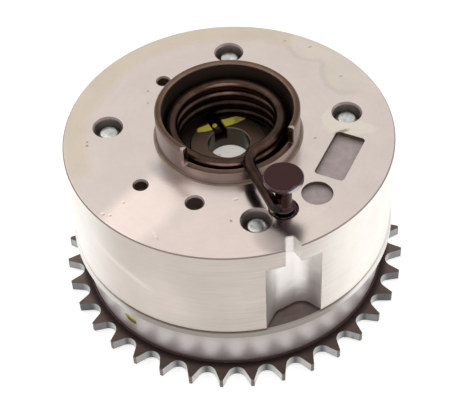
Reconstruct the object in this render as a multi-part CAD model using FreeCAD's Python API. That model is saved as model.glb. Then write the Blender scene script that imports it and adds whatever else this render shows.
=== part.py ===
import FreeCAD, Part
import math
import os

# Camshaft gear: a chain sprocket with a vane-type timing adjuster bolted to its front.
# Frame: origin on the axis at the sprocket's rear face, +Z towards the front, millimetres.
# Angles are degrees about +Z from +X, seen from the front.
# Radii are built up from the bolt bore outwards, and heights from the rear face forwards.

V = FreeCAD.Vector

# How far a cutting shape runs past the surface that it opens
PAST = 1.0

# Chain and teeth
CHAIN_PITCH = 8.0
ROLLER_R = 2.5
ROLLER_GAP = 0.05
TEETH = 36
TOOTH_TOP = 1.8
TOOTH_T = 2.9
TOOTH_FLANK_ANGLE = 28.0
TOOTH_ANGLE = 3.6

# Outer body
SPROCKET_T = 18.0
HOUSING_L = 29.3
FRONT_WALL = 5.8
SIDE_WALL = 5.0
FACE_CHAMFER = 0.3
BASE_CHAMFER = 0.6
RIM_LEDGE = 0.6
BAND_TAPER = 2.65
FOOT_STEP_R = 0.4
FOOT_STEP_H = 0.4
BAND_RIM_H = 2.3
BAND_RIM_STEP = 1.0
MARK_R = 2.0
MARK_DEPTH = 0.7
MARK_ANGLE = 227.65
MARK_DROP = 7.5

# Bolt bore, boss and spring cup, the raised collar of the rotor
BOLT_BORE_R = 5.4
BOLT_BORE_L = 6.35
BORE_CHAMFER = 0.25
BOSS_WALL = 4.9
BOSS_H = 3.8
BOSS_GAP = 2.5
CUP_ROOM = 1.3
CUP_WALL = 1.7
CUP_EDGE = 0.25
CUP_FOOT_STEP = 0.2
CUP_FOOT_DROP = 0.5
CUP_RISE = 8.8
CUP_LOW_RISE = 3.5
CUP_LOW_ANGLES = (232.0, 331.0)
CUP_FLOOR_DROP = 7.55
CUP_FLOOR_T = 3.0
WELL_LEDGE = 2.6
SEAT_GAP = 0.03
OPENING_GAP = 0.15

# Torsion spring
WIRE_R = 1.5
COIL_TURNS = 3
COIL_SEAT_GAP = 0.25
LEG_LIFT = 0.1
INNER_LEG_ANGLE = 113.4
INNER_BEND_R = 3.0
INNER_LEG_INSET = 1.5
OUTER_LEG_ANGLE = -69.0
OUTER_BEND_R = 6.0
OUTER_LEG_PAST = 4.0
LEG_SLOT_GAP = 0.3

# Rotor
HUB_LEDGE = 5.85
PILOT_R = 15.0
PILOT_L = 10.0
SNOUT_WALL = 5.0
SNOUT_END = 4.0
SNOUT_EDGE = 0.5
RUNNING_GAP = 0.05
KNOCK_R = 2.0
KNOCK_L = 5.0
KNOCK_ANGLE = 20.0
OIL_R = 1.2
OIL_HEIGHTS = (5.0, 10.5)
OIL_BACK_ANGLE = 3.6

# Chambers, lobes and vanes
VANE_H = 13.5
LOBE_GAP = 0.3
TIP_GAP = 0.2
SIDE_GAP = 0.05
TURN_ANGLE = 22.5
STOP_GAP_ANGLE = 0.3
LOBE_HALF_ANGLE = 15.0
LONG_LOBE_END_ANGLE = 203.0
WIDE_LOBE_ANGLES = (268.0, 305.0)
WIDE_LOBE_SEAL_ANGLE = 287.0
MAIN_VANE_ANGLE = 41.7
VANE_END_ANGLE = 1.5

# Seals and the leaf springs behind them
SEAL_W = 1.9
SEAL_SIDE_GAP = 0.05
VANE_SEAL_H = 2.2
LOBE_SEAL_H = 1.9
SEAL_LIP_GAP = 0.05
LEAF_ROOM = 0.95
LEAF_T = 0.22
LEAF_SIDE = 0.2
LEAF_INSET = 1.0
LEAF_AIR = 0.04

# Housing bolts
BOLT_ANGLES = (9.35, 87.7, 172.4, 280.3)
BOLT_WALL = 1.15
BOLT_R = 2.95
BOLT_CLEAR = 0.3
THREAD_CLEAR = 0.08
THREAD_L = 15.5
BOLT_MOUTH = 0.5
BOLT_MOUTH_GAP = 0.65
BOLT_MOUTH_L = 5.3
BOLT_END_DEPTH = 1.9
BOLT_POINT = 0.7
BOLT_HEAD_H = 4.6
BOLT_HEAD_CHAMFER = 0.6
BOLT_FLANGE_R = 6.0
BOLT_FLANGE_H = 1.3
BOLT_FLATS = 10.0
BOLT_SEAT = 7.0
BOLT_WELL_GAP = 0.6

# Recesses and holes in the front face, placed by their distance inside the body's edge
SLOT_LENGTH = 16.4
SLOT_WIDTH = 8.0
SLOT_INSET = 13.3
SLOT_PLACE_ANGLE = -20.95
SLOT_ANGLE = 63.3
SLOT_DEPTH = 1.4
SLOT_CORNER = 1.0
DISH_INSET = 11.85
DISH_ANGLE = -47.7
DISH_R = 4.0
DISH_DEPTH = 1.3
BLIND_INSETS = (14.75, 16.2)
BLIND_ANGLES = (217.5, 128.5)
BLIND_R = 1.65
BLIND_DEPTH = 3.2
MOUTH_CHAMFER = 0.45

# Side pocket and the notch above it
POCKET_ANGLE = 290.0
POCKET_MOUTH = (-8.0, 7.2)
POCKET_BACK = (-3.7, 4.5)
POCKET_DEPTHS = (4.8, 6.0)
POCKET_CORNER = 4.0
NOTCH_ANGLE = 288.9
NOTCH_MOUTH = (-2.0, 2.3)
NOTCH_BACK = (-0.5, 1.6)
NOTCH_DEPTHS = (4.1, 3.7)
NOTCH_CORNER = 0.7

# Anchor pin of the spring
ANCHOR_ANGLE = 294.2
ANCHOR_INSET = 1.3
ANCHOR_SHANK_R = 2.1
ANCHOR_HEAD_R = 5.0
ANCHOR_HEAD_T = 1.2
ANCHOR_TOP_RISE = 11.35
ANCHOR_ROOT_R = 3.0
ANCHOR_ROOT_L = 12.0
ANCHOR_COLLAR = 0.65
ANCHOR_COLLAR_H = 0.7
ANCHOR_SEAT_DEPTH = 1.2
ANCHOR_SEAT_GAP = 0.15
ANCHOR_NECK = 0.8
ANCHOR_NECK_H = 1.2
ANCHOR_EDGE = 0.2

# Lock pin, its seat, spring and cap
LOCK_ANGLE = 249.2
LOCK_GAP = 0.06
LOCK_LIFT = 0.1
LOCK_TRAVEL = 3.5
LOCK_SPARE = 1.1
LOCK_STEP = 2.4
LOCK_SHOULDER = 1.2
LOCK_WALL = 0.6
LOCK_END_WALL = 4.0
LOCK_EDGE = 0.3
LOCK_CAP_T = 2.7
LOCK_VENT_R = 2.1
CAP_SPIGOT_R = 1.3
CAP_SPIGOT_L = 3.0
CAP_VENT_R = 0.8
BUSH_GAP = 0.2
BUSH_WALL = 1.4
BUSH_L = 5.5
BUSH_LEDGE = 1.25
LOCK_WIRE_R = 0.35
LOCK_COILS = 7
LOCK_COIL_IN_GAP = 0.3
LOCK_COIL_OUT_GAP = 0.4

# Heights worked out from the sizes above
FACE_Z = SPROCKET_T + HOUSING_L
CEILING_Z = FACE_Z - FRONT_WALL
ROTOR_Z0 = SPROCKET_T + SIDE_GAP
ROTOR_Z1 = CEILING_Z - SIDE_GAP
FOOT_STEP_Z = TOOTH_T + FOOT_STEP_H
BAND_RIM_Z = SPROCKET_T - BAND_RIM_H
CUP_RIM_Z = FACE_Z + CUP_RISE
CUP_LOW_Z = FACE_Z + CUP_LOW_RISE
CUP_FOOT_Z = FACE_Z - CUP_FOOT_DROP
CUP_FLOOR_Z = FACE_Z - CUP_FLOOR_DROP
CUP_BASE_Z = CUP_FLOOR_Z - CUP_FLOOR_T
BOSS_Z = CUP_FLOOR_Z + BOSS_H
WELL_TOP_Z = BOSS_Z - BOLT_BORE_L
PILOT_TOP_Z = SNOUT_END + PILOT_L
COIL_TOP_Z = CUP_LOW_Z + WIRE_R + LEG_LIFT
COIL_LOW_Z = CUP_FLOOR_Z + COIL_SEAT_GAP + WIRE_R
ANCHOR_TOP_Z = FACE_Z + ANCHOR_TOP_RISE
ANCHOR_SEAT_Z = FACE_Z - ANCHOR_SEAT_DEPTH
LOCK_CAP_Z = ROTOR_Z1 - SEAT_GAP - LOCK_CAP_T
LOCK_Z0 = SPROCKET_T + LOCK_LIFT
LOCK_Z1 = LOCK_CAP_Z - LOCK_TRAVEL - LOCK_SPARE

# Radii worked out from the sizes above, from the bore outwards
WELL_R = BOLT_BORE_R + WELL_LEDGE
BOSS_R = BOLT_BORE_R + BOSS_WALL
COIL_R = BOSS_R + BOSS_GAP + WIRE_R
CUP_BORE_R = COIL_R + WIRE_R + CUP_ROOM
CUP_R = CUP_BORE_R + CUP_WALL
CUP_FOOT_R = CUP_R + CUP_FOOT_STEP
OPENING_R = CUP_FOOT_R + OPENING_GAP
HUB_R = OPENING_R + HUB_LEDGE
SNOUT_R = PILOT_R + SNOUT_WALL
KNOCK_CIRCLE_R = (WELL_R + PILOT_R) / 2
CHAMBER_R = HUB_R + VANE_H
VANE_R = CHAMBER_R - TIP_GAP
LOBE_R = HUB_R + LOBE_GAP
VANE_LIP_R = CHAMBER_R - SEAL_LIP_GAP
VANE_SLOT_R = VANE_LIP_R - VANE_SEAL_H - LEAF_ROOM
LOBE_LIP_R = HUB_R + SEAL_LIP_GAP
LOBE_SLOT_R = LOBE_LIP_R + LOBE_SEAL_H + LEAF_ROOM
BOLT_CIRCLE_R = LOBE_SLOT_R + BOLT_WALL + BOLT_R
ANCHOR_CIRCLE_R = BOLT_CIRCLE_R - ANCHOR_INSET
BODY_R = CHAMBER_R + SIDE_WALL
RIM_R = BODY_R + RIM_LEDGE
BAND_FOOT_R = RIM_R - BAND_TAPER
PITCH_R = CHAIN_PITCH / (2 * math.sin(math.pi / TEETH))
TIP_R = PITCH_R + TOOTH_TOP
LOCK_COIL_R = CAP_SPIGOT_R + LOCK_COIL_IN_GAP + LOCK_WIRE_R
LOCK_HOLLOW_R = LOCK_COIL_R + LOCK_WIRE_R + LOCK_COIL_OUT_GAP
LOCK_NOSE_R = LOCK_HOLLOW_R + LOCK_WALL
LOCK_BORE_R = LOCK_NOSE_R + LOCK_SHOULDER
BUSH_BORE_R = LOCK_NOSE_R + BUSH_GAP
BUSH_R = BUSH_BORE_R + BUSH_WALL
LOCK_AXIS_R = SNOUT_R + RUNNING_GAP + BUSH_LEDGE + BUSH_R


def polar(r, angle, z=0.0):
    """The point at radius r and the given angle, at height z."""
    a = math.radians(angle)
    return V(r * math.cos(a), r * math.sin(a), z)


def rod(r, z0, z1, at=V(0, 0, 0)):
    """A round bar along Z from z0 to z1, centred on the given point's x and y."""
    return Part.makeCylinder(r, z1 - z0, V(at.x, at.y, z0))


def cone(r0, r1, z0, z1, at=V(0, 0, 0)):
    """A tapered bar along Z, r0 at z0 and r1 at z1."""
    return Part.makeCone(r0, r1, z1 - z0, V(at.x, at.y, z0))


def turned(points):
    """A solid turned about the Z axis from its (radius, z) outline."""
    corners = [V(r, 0, z) for r, z in points]
    face = Part.Face(Part.makePolygon(corners + corners[:1]))
    return face.revolve(V(0, 0, 0), V(0, 0, 1), 360)


def prism(points, z0, z1):
    """An upright solid over the outline of points."""
    corners = [V(p.x, p.y, z0) for p in points]
    face = Part.Face(Part.makePolygon(corners + corners[:1]))
    return face.extrude(V(0, 0, z1 - z0))


def sector(r0, r1, a0, a1, z0, z1):
    """Part of a ring between two radii and two angles."""
    mid = (a0 + a1) / 2
    edges = [
        Part.LineSegment(polar(r0, a0, z0), polar(r1, a0, z0)).toShape(),
        Part.Arc(polar(r1, a0, z0), polar(r1, mid, z0), polar(r1, a1, z0)).toShape(),
        Part.LineSegment(polar(r1, a1, z0), polar(r0, a1, z0)).toShape(),
        Part.Arc(polar(r0, a1, z0), polar(r0, mid, z0), polar(r0, a0, z0)).toShape(),
    ]
    return Part.Face(Part.Wire(edges)).extrude(V(0, 0, z1 - z0))


def radial_block(r0, r1, width, angle, z0, z1):
    """A straight block along a radius, centred on it."""
    block = Part.makeBox(r1 - r0, width, z1 - z0, V(r0, -width / 2, z0))
    block.rotate(V(0, 0, 0), V(0, 0, 1), angle)
    return block


def upright_edges(shape, tall):
    """The edges of a shape that run along Z over the given height."""
    found = []
    for e in shape.Edges:
        a, b = e.Vertexes[0].Point, e.Vertexes[-1].Point
        if abs(abs(a.z - b.z) - tall) < 1e-6 and abs(a.x - b.x) + abs(a.y - b.y) < 1e-6:
            found.append(e)
    return found


def one_solid(shape):
    """The shape's single solid, with split faces joined."""
    shape = shape.removeSplitter()
    solids = shape.Solids
    if len(solids) != 1:
        raise ValueError("expected one solid, found %d" % len(solids))
    return solids[0]


def lobes():
    """The four lobes as (start, end, seal angle), in order of angle."""
    first, second, third = BOLT_ANGLES[:3]
    return [
        (first - LOBE_HALF_ANGLE, first + LOBE_HALF_ANGLE, first),
        (second - LOBE_HALF_ANGLE, second + LOBE_HALF_ANGLE, second),
        (third - LOBE_HALF_ANGLE, LONG_LOBE_END_ANGLE, third),
        (WIDE_LOBE_ANGLES[0], WIDE_LOBE_ANGLES[1], WIDE_LOBE_SEAL_ANGLE),
    ]


def chambers():
    """The oil chambers between the lobes, as (start, end) angles."""
    rows = lobes()
    ends = [row[1] for row in rows]
    starts = [row[0] for row in rows[1:]] + [rows[0][0] + 360]
    return list(zip(ends, starts))


def vanes():
    """The four vanes as (start, end) angles: the third is the one that meets the stops."""
    rows = []
    for i, (start, end) in enumerate(chambers()):
        if i == 2:
            rows.append((end - STOP_GAP_ANGLE - MAIN_VANE_ANGLE, end - STOP_GAP_ANGLE))
        else:
            rows.append((start + TURN_ANGLE + VANE_END_ANGLE, end - VANE_END_ANGLE))
    return rows


def lock_axis():
    """Where the lock pin's axis stands."""
    return polar(LOCK_AXIS_R, LOCK_ANGLE)


def anchor_axis():
    """Where the anchor pin's axis stands."""
    return polar(ANCHOR_CIRCLE_R, ANCHOR_ANGLE)


def bolt_axes():
    """Where the four housing bolts stand."""
    return [polar(BOLT_CIRCLE_R, angle) for angle in BOLT_ANGLES]


def tooth_gap():
    """The space between two teeth: a roller seat with straight flanks, centred on +X."""
    seat = ROLLER_R + ROLLER_GAP
    a = math.radians(TOOTH_FLANK_ANGLE)
    reach = TIP_R + PAST - PITCH_R
    side_x = PITCH_R - seat * math.sin(a)
    side_y = seat * math.cos(a)
    run = (reach + seat * math.sin(a)) / math.cos(a)
    out_x = side_x + run * math.cos(a)
    out_y = side_y + run * math.sin(a)
    edges = [
        Part.Arc(V(side_x, side_y, 0), V(PITCH_R - seat, 0, 0), V(side_x, -side_y, 0)).toShape(),
        Part.LineSegment(V(side_x, -side_y, 0), V(out_x, -out_y, 0)).toShape(),
        Part.LineSegment(V(out_x, -out_y, 0), V(out_x, out_y, 0)).toShape(),
        Part.LineSegment(V(out_x, out_y, 0), V(side_x, side_y, 0)).toShape(),
    ]
    face = Part.Face(Part.Wire(edges))
    return face.extrude(V(0, 0, TOOTH_T))


def tooth_gaps():
    """The spaces between all the teeth."""
    gaps = []
    for i in range(TEETH):
        gap = tooth_gap()
        gap.rotate(V(0, 0, 0), V(0, 0, 1), TOOTH_ANGLE + 360.0 / TEETH * (i + 0.5))
        gaps.append(gap)
    return gaps


def timing_mark():
    """The round dimple in the tapered band that holds the timing mark."""
    z = SPROCKET_T - MARK_DROP
    share = (z - FOOT_STEP_Z) / (BAND_RIM_Z - FOOT_STEP_Z)
    band_r = BAND_FOOT_R + share * (BAND_TAPER - BAND_RIM_STEP)
    foot = polar(band_r - MARK_DEPTH, MARK_ANGLE, z)
    return Part.makeCylinder(MARK_R, MARK_DEPTH + BAND_TAPER, foot, polar(1, MARK_ANGLE))


def make_sprocket():
    """The steel sprocket: teeth, tapered band, bolt wells at the rear and the rotor's bearing bore."""
    bore = SNOUT_R + RUNNING_GAP
    body = turned([
        (bore, 0), (TIP_R, 0), (TIP_R, TOOTH_T), (BAND_FOOT_R + FOOT_STEP_R, TOOTH_T),
        (BAND_FOOT_R + FOOT_STEP_R, FOOT_STEP_Z), (BAND_FOOT_R, FOOT_STEP_Z),
        (RIM_R - BAND_RIM_STEP, BAND_RIM_Z), (RIM_R, BAND_RIM_Z + BAND_RIM_STEP),
        (RIM_R, SPROCKET_T - FACE_CHAMFER), (RIM_R - FACE_CHAMFER, SPROCKET_T), (bore, SPROCKET_T),
    ])
    cuts = tooth_gaps() + [timing_mark()]
    for p in bolt_axes():
        cuts.append(rod(BOLT_FLANGE_R + BOLT_WELL_GAP, 0, BOLT_SEAT, p))
        cuts.append(rod(BOLT_R + BOLT_CLEAR, BOLT_SEAT, SPROCKET_T, p))
    cuts.append(rod(BUSH_R + SEAT_GAP, SPROCKET_T - BUSH_L, SPROCKET_T, lock_axis()))
    return one_solid(body.cut(cuts))


def beyond(start, end, distance):
    """The point on the line from start through end, the given distance past end."""
    way = end - start
    way.normalize()
    return end + way * distance


def side_recess(mouth, back, depths, corner, angle, z0, z1):
    """A recess in the housing's side. Mouth and back are given across the radius at the angle."""
    mouth_r = math.sqrt(BODY_R ** 2 - mouth[0] ** 2)
    outer = [V(mouth_r, across, 0) for across in mouth]
    inner = [V(BODY_R - depth, across, 0) for depth, across in zip(depths, back)]
    ends = [beyond(a, b, 3 * PAST) for a, b in zip(inner, outer)]
    block = prism([ends[0], inner[0], inner[1], ends[1]], z0, z1)
    corners = [e for e in upright_edges(block, z1 - z0) if e.Vertexes[0].Point.x < mouth_r]
    block = block.makeFillet(corner, corners)
    block.rotate(V(0, 0, 0), V(0, 0, 1), angle)
    return block


def side_recesses():
    """The cast pocket in the housing's side, open at the bottom, and the notch above it."""
    pocket = side_recess(POCKET_MOUTH, POCKET_BACK, POCKET_DEPTHS, POCKET_CORNER, POCKET_ANGLE,
                         SPROCKET_T, CEILING_Z)
    notch = side_recess(NOTCH_MOUTH, NOTCH_BACK, NOTCH_DEPTHS, NOTCH_CORNER, NOTCH_ANGLE,
                        CEILING_Z, FACE_Z)
    return [pocket, notch]


def face_slot():
    """The rectangular recess in the front face."""
    block = Part.makeBox(SLOT_LENGTH, SLOT_WIDTH, SLOT_DEPTH,
                         V(-SLOT_LENGTH / 2, -SLOT_WIDTH / 2, FACE_Z - SLOT_DEPTH))
    block = block.makeFillet(SLOT_CORNER, upright_edges(block, SLOT_DEPTH))
    block.rotate(V(0, 0, 0), V(0, 0, 1), SLOT_ANGLE)
    block.translate(polar(BODY_R - SLOT_INSET, SLOT_PLACE_ANGLE))
    return block


def face_hole(r, depth, at):
    """A hole down from the front face, with a chamfer at its mouth."""
    hole = rod(r, FACE_Z - depth, FACE_Z, at)
    return hole.fuse(cone(r, r + MOUTH_CHAMFER, FACE_Z - MOUTH_CHAMFER, FACE_Z, at))


def bolt_hole(at):
    """A bolt's hole through the housing: clear behind, threaded, and clear again at the face."""
    thread_z = FACE_Z - THREAD_L
    mouth_z = FACE_Z - BOLT_MOUTH_L
    mouth_r = BOLT_R + BOLT_MOUTH_GAP
    return rod(BOLT_R + BOLT_CLEAR, SPROCKET_T, thread_z, at).fuse([
        rod(BOLT_R + THREAD_CLEAR, thread_z, mouth_z, at),
        rod(mouth_r, mouth_z, FACE_Z, at),
        cone(mouth_r, mouth_r + BOLT_MOUTH, FACE_Z - BOLT_MOUTH, FACE_Z, at),
    ])


def make_housing():
    """The aluminium housing: cover and side in one piece, with four lobes inside."""
    body = turned([
        (0, SPROCKET_T), (BODY_R - BASE_CHAMFER, SPROCKET_T), (BODY_R, SPROCKET_T + BASE_CHAMFER),
        (BODY_R, FACE_Z - FACE_CHAMFER), (BODY_R - FACE_CHAMFER, FACE_Z), (0, FACE_Z),
    ])
    cuts = [rod(LOBE_R, SPROCKET_T, CEILING_Z), rod(OPENING_R, CEILING_Z, FACE_Z)]
    for start, end in chambers():
        cuts.append(sector(HUB_R - PAST, CHAMBER_R, start, end, SPROCKET_T, CEILING_Z))
    for _, _, seal in lobes():
        width = SEAL_W + 2 * SEAL_SIDE_GAP
        cuts.append(radial_block(HUB_R - PAST, LOBE_SLOT_R, width, seal, SPROCKET_T, CEILING_Z))
    cuts += [bolt_hole(p) for p in bolt_axes()]
    for inset, angle in zip(BLIND_INSETS, BLIND_ANGLES):
        cuts.append(face_hole(BLIND_R, BLIND_DEPTH, polar(BODY_R - inset, angle)))
    cuts.append(face_hole(LOCK_VENT_R, FRONT_WALL, lock_axis()))
    cuts.append(rod(DISH_R, FACE_Z - DISH_DEPTH, FACE_Z, polar(BODY_R - DISH_INSET, DISH_ANGLE)))
    cuts += [face_slot()] + side_recesses()
    seat_r = ANCHOR_ROOT_R + ANCHOR_COLLAR + ANCHOR_SEAT_GAP
    cuts.append(rod(ANCHOR_ROOT_R + SEAT_GAP, ANCHOR_SEAT_Z - ANCHOR_ROOT_L, FACE_Z, anchor_axis()))
    cuts.append(rod(seat_r, ANCHOR_SEAT_Z, FACE_Z, anchor_axis()))
    return one_solid(body.cut(cuts))


def make_bolts():
    """The four flanged hexagon bolts, screwed in from the rear."""
    bolts = []
    point_z = FACE_Z - BOLT_END_DEPTH - BOLT_POINT
    flange_z = BOLT_SEAT - BOLT_FLANGE_H
    head_z = flange_z - BOLT_HEAD_H
    corner_r = BOLT_FLATS / math.sqrt(3)
    chamfer_r = corner_r - BOLT_HEAD_CHAMFER
    for p, angle in zip(bolt_axes(), BOLT_ANGLES):
        hexagon = [p + polar(corner_r, angle + 60 * k) for k in range(6)]
        head = prism(hexagon, head_z, flange_z)
        head = head.common(cone(chamfer_r, chamfer_r + BOLT_HEAD_H, head_z, flange_z, p))
        bolts.append(one_solid(head.fuse([
            rod(BOLT_FLANGE_R, flange_z, BOLT_SEAT, p),
            rod(BOLT_R, BOLT_SEAT, point_z, p),
            cone(BOLT_R, BOLT_R - BOLT_POINT, point_z, point_z + BOLT_POINT, p),
        ])))
    return Part.makeCompound(bolts)


def oil_hole(angle, height):
    """A radial oil hole through the rotor's hub."""
    start = polar(WELL_R - PAST, angle, ROTOR_Z0 + height)
    return Part.makeCylinder(OIL_R, HUB_R - WELL_R + 2 * PAST, start, polar(1, angle))


def make_rotor():
    """The vane rotor: hub, four vanes, rear snout, camshaft bore and oil holes."""
    well = CUP_FOOT_R + SEAT_GAP
    hub = turned([
        (PILOT_R, SNOUT_END), (SNOUT_R - SNOUT_EDGE, SNOUT_END), (SNOUT_R, SNOUT_END + SNOUT_EDGE),
        (SNOUT_R, ROTOR_Z0), (HUB_R, ROTOR_Z0), (HUB_R, ROTOR_Z1), (well, ROTOR_Z1),
        (well, CUP_BASE_Z), (WELL_R, CUP_BASE_Z), (WELL_R, PILOT_TOP_Z), (PILOT_R, PILOT_TOP_Z),
    ])
    blades = [sector(HUB_R - PAST, VANE_R, start, end, ROTOR_Z0, ROTOR_Z1) for start, end in vanes()]
    cuts = []
    for start, end in vanes():
        width = SEAL_W + 2 * SEAL_SIDE_GAP
        middle = (start + end) / 2
        cuts.append(radial_block(VANE_SLOT_R, VANE_R + PAST, width, middle, ROTOR_Z0, ROTOR_Z1))
        cuts.append(oil_hole(start - OIL_BACK_ANGLE, OIL_HEIGHTS[0]))
        cuts.append(oil_hole(end + OIL_BACK_ANGLE, OIL_HEIGHTS[1]))
    step_z = ROTOR_Z0 + LOCK_STEP
    cuts.append(rod(LOCK_NOSE_R + LOCK_GAP, ROTOR_Z0, step_z, lock_axis()))
    cuts.append(rod(LOCK_BORE_R, step_z, ROTOR_Z1, lock_axis()))
    cuts.append(rod(KNOCK_R, PILOT_TOP_Z, PILOT_TOP_Z + KNOCK_L, polar(KNOCK_CIRCLE_R, KNOCK_ANGLE)))
    return one_solid(hub.fuse(blades).cut(cuts))


def make_cup():
    """The spring cup: raised collar, slotted boss and the seat of the camshaft bolt."""
    body = turned([
        (BOLT_BORE_R, WELL_TOP_Z), (BOLT_BORE_R, BOSS_Z - BORE_CHAMFER),
        (BOLT_BORE_R + BORE_CHAMFER, BOSS_Z), (BOSS_R - BORE_CHAMFER, BOSS_Z),
        (BOSS_R, BOSS_Z - BORE_CHAMFER), (BOSS_R, CUP_FLOOR_Z), (CUP_BORE_R, CUP_FLOOR_Z),
        (CUP_BORE_R, CUP_RIM_Z - CUP_EDGE), (CUP_BORE_R + CUP_EDGE, CUP_RIM_Z),
        (CUP_R - CUP_EDGE, CUP_RIM_Z), (CUP_R, CUP_RIM_Z - CUP_EDGE), (CUP_R, CUP_FOOT_Z),
        (CUP_FOOT_R, CUP_FOOT_Z), (CUP_FOOT_R, CUP_BASE_Z), (WELL_R, CUP_BASE_Z), (WELL_R, WELL_TOP_Z),
    ])
    a0, a1 = CUP_LOW_ANGLES
    window = sector(CUP_BORE_R - PAST, CUP_R + PAST, a0, a1, CUP_LOW_Z, CUP_RIM_Z)
    width = 2 * (WIRE_R + LEG_SLOT_GAP)
    slot = radial_block(BOLT_BORE_R - PAST, BOSS_R + PAST, width, INNER_LEG_ANGLE, CUP_FLOOR_Z, BOSS_Z)
    return one_solid(body.cut([window, slot]))


def make_anchor_pin():
    """The headed pin that the spring's outer leg bears on, pressed into the housing."""
    root_z = ANCHOR_SEAT_Z - ANCHOR_ROOT_L
    collar_r = ANCHOR_ROOT_R + ANCHOR_COLLAR
    collar_z = ANCHOR_SEAT_Z + ANCHOR_COLLAR_H
    neck_r = ANCHOR_SHANK_R + ANCHOR_NECK
    neck_z = FACE_Z + ANCHOR_NECK_H
    head_z = ANCHOR_TOP_Z - ANCHOR_HEAD_T
    pin = turned([
        (0, root_z), (ANCHOR_ROOT_R - ANCHOR_EDGE, root_z), (ANCHOR_ROOT_R, root_z + ANCHOR_EDGE),
        (ANCHOR_ROOT_R, ANCHOR_SEAT_Z), (collar_r, ANCHOR_SEAT_Z), (collar_r, collar_z),
        (neck_r, collar_z), (neck_r, neck_z), (ANCHOR_SHANK_R, neck_z + ANCHOR_NECK),
        (ANCHOR_SHANK_R, head_z - ANCHOR_NECK), (neck_r, head_z), (ANCHOR_HEAD_R - ANCHOR_EDGE, head_z),
        (ANCHOR_HEAD_R, head_z + ANCHOR_EDGE), (ANCHOR_HEAD_R, ANCHOR_TOP_Z - ANCHOR_EDGE),
        (ANCHOR_HEAD_R - ANCHOR_EDGE, ANCHOR_TOP_Z), (0, ANCHOR_TOP_Z),
    ])
    pin.translate(anchor_axis())
    return one_solid(pin)


def outer_leg():
    """The outer leg in plan: the centre of its bend, and the two ends of its straight run.

    The leg passes the anchor pin on its inner side. Its bend touches the coil from outside.
    """
    along = polar(1, OUTER_LEG_ANGLE)
    left = polar(1, OUTER_LEG_ANGLE + 90)
    beside_pin = anchor_axis() - left * (ANCHOR_SHANK_R + WIRE_R + RUNNING_GAP)
    line = beside_pin + left * OUTER_BEND_R
    ahead = line.dot(along)
    beside_sq = line.dot(line) - ahead ** 2
    centre = line - along * (ahead - math.sqrt((COIL_R + OUTER_BEND_R) ** 2 - beside_sq))
    return centre, centre - left * OUTER_BEND_R, beside_pin + along * OUTER_LEG_PAST


def bend(centre, start, end, r, z):
    """A level arc of radius r from start to end."""
    toward = (start - centre) + (end - centre)
    toward.normalize()
    points = (start, centre + toward * r, end)
    return Part.Arc(*[V(p.x, p.y, z) for p in points]).toShape()


def run(start, end, z):
    """A level straight line."""
    return Part.LineSegment(V(start.x, start.y, z), V(end.x, end.y, z)).toShape()


def wire_solid(edges, point, heading, r):
    """A round wire of radius r along a path that stays nearly level."""
    pipe = Part.BRepOffsetAPI.MakePipeShell(Part.Wire(edges))
    pipe.setBiNormalMode(V(0, 0, 1))
    pipe.add(Part.Wire([Part.Circle(point, heading, r).toShape()]))
    pipe.build()
    pipe.makeSolid()
    return one_solid(pipe.shape())


def make_torsion_spring():
    """The assist spring: outer leg by the anchor pin, coils in the cup, inner leg in the boss slot."""
    centre, leg_start, leg_end = outer_leg()
    top_angle = math.degrees(math.atan2(centre.y, centre.x))
    inner_r = COIL_R - INNER_BEND_R
    lag = math.asin(INNER_BEND_R / inner_r)
    low_angle = INNER_LEG_ANGLE - math.degrees(lag)
    turns = (low_angle - top_angle) / 360.0 + COIL_TURNS
    drop = COIL_TOP_Z - COIL_LOW_Z
    coils = Part.makeHelix(drop / turns, drop, COIL_R, 0, True)
    coils.rotate(V(0, 0, 0), V(0, 0, 1), low_angle)
    coils.translate(V(0, 0, COIL_LOW_Z))
    inner_end = polar(BOLT_BORE_R + INNER_LEG_INSET, INNER_LEG_ANGLE)
    inner_start = polar(inner_r * math.cos(lag), INNER_LEG_ANGLE)
    inner_bend = bend(polar(inner_r, low_angle), inner_start, polar(COIL_R, low_angle),
                      INNER_BEND_R, COIL_LOW_Z)
    outer_bend = bend(centre, polar(COIL_R, top_angle), leg_start, OUTER_BEND_R, COIL_TOP_Z)
    path = [run(inner_end, inner_start, COIL_LOW_Z), inner_bend] + coils.Edges
    path += [outer_bend, run(leg_start, leg_end, COIL_TOP_Z)]
    start = V(inner_end.x, inner_end.y, COIL_LOW_Z)
    return wire_solid(path, start, polar(1, INNER_LEG_ANGLE), WIRE_R)


def make_lock_bush():
    """The hardened seat of the lock pin, pressed into the sprocket's front face."""
    bottom = SPROCKET_T - BUSH_L
    ring = turned([
        (BUSH_BORE_R, bottom), (BUSH_R, bottom), (BUSH_R, SPROCKET_T),
        (BUSH_BORE_R + LOCK_EDGE, SPROCKET_T), (BUSH_BORE_R, SPROCKET_T - LOCK_EDGE),
    ])
    ring.translate(lock_axis())
    return one_solid(ring)


def make_lock_pin():
    """The lock pin, drawn back to its unlocked place, with its nose just clear of the seat."""
    head_r = LOCK_BORE_R - LOCK_GAP
    shoulder_z = LOCK_Z0 + LOCK_STEP + LOCK_TRAVEL
    hollow_z = LOCK_Z0 + LOCK_END_WALL
    pin = turned([
        (0, LOCK_Z0), (LOCK_NOSE_R - LOCK_EDGE, LOCK_Z0), (LOCK_NOSE_R, LOCK_Z0 + LOCK_EDGE),
        (LOCK_NOSE_R, shoulder_z), (head_r, shoulder_z), (head_r, LOCK_Z1 - LOCK_EDGE),
        (head_r - LOCK_EDGE, LOCK_Z1), (LOCK_HOLLOW_R, LOCK_Z1), (LOCK_HOLLOW_R, hollow_z),
        (0, hollow_z),
    ])
    pin.translate(lock_axis())
    return one_solid(pin)


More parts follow.
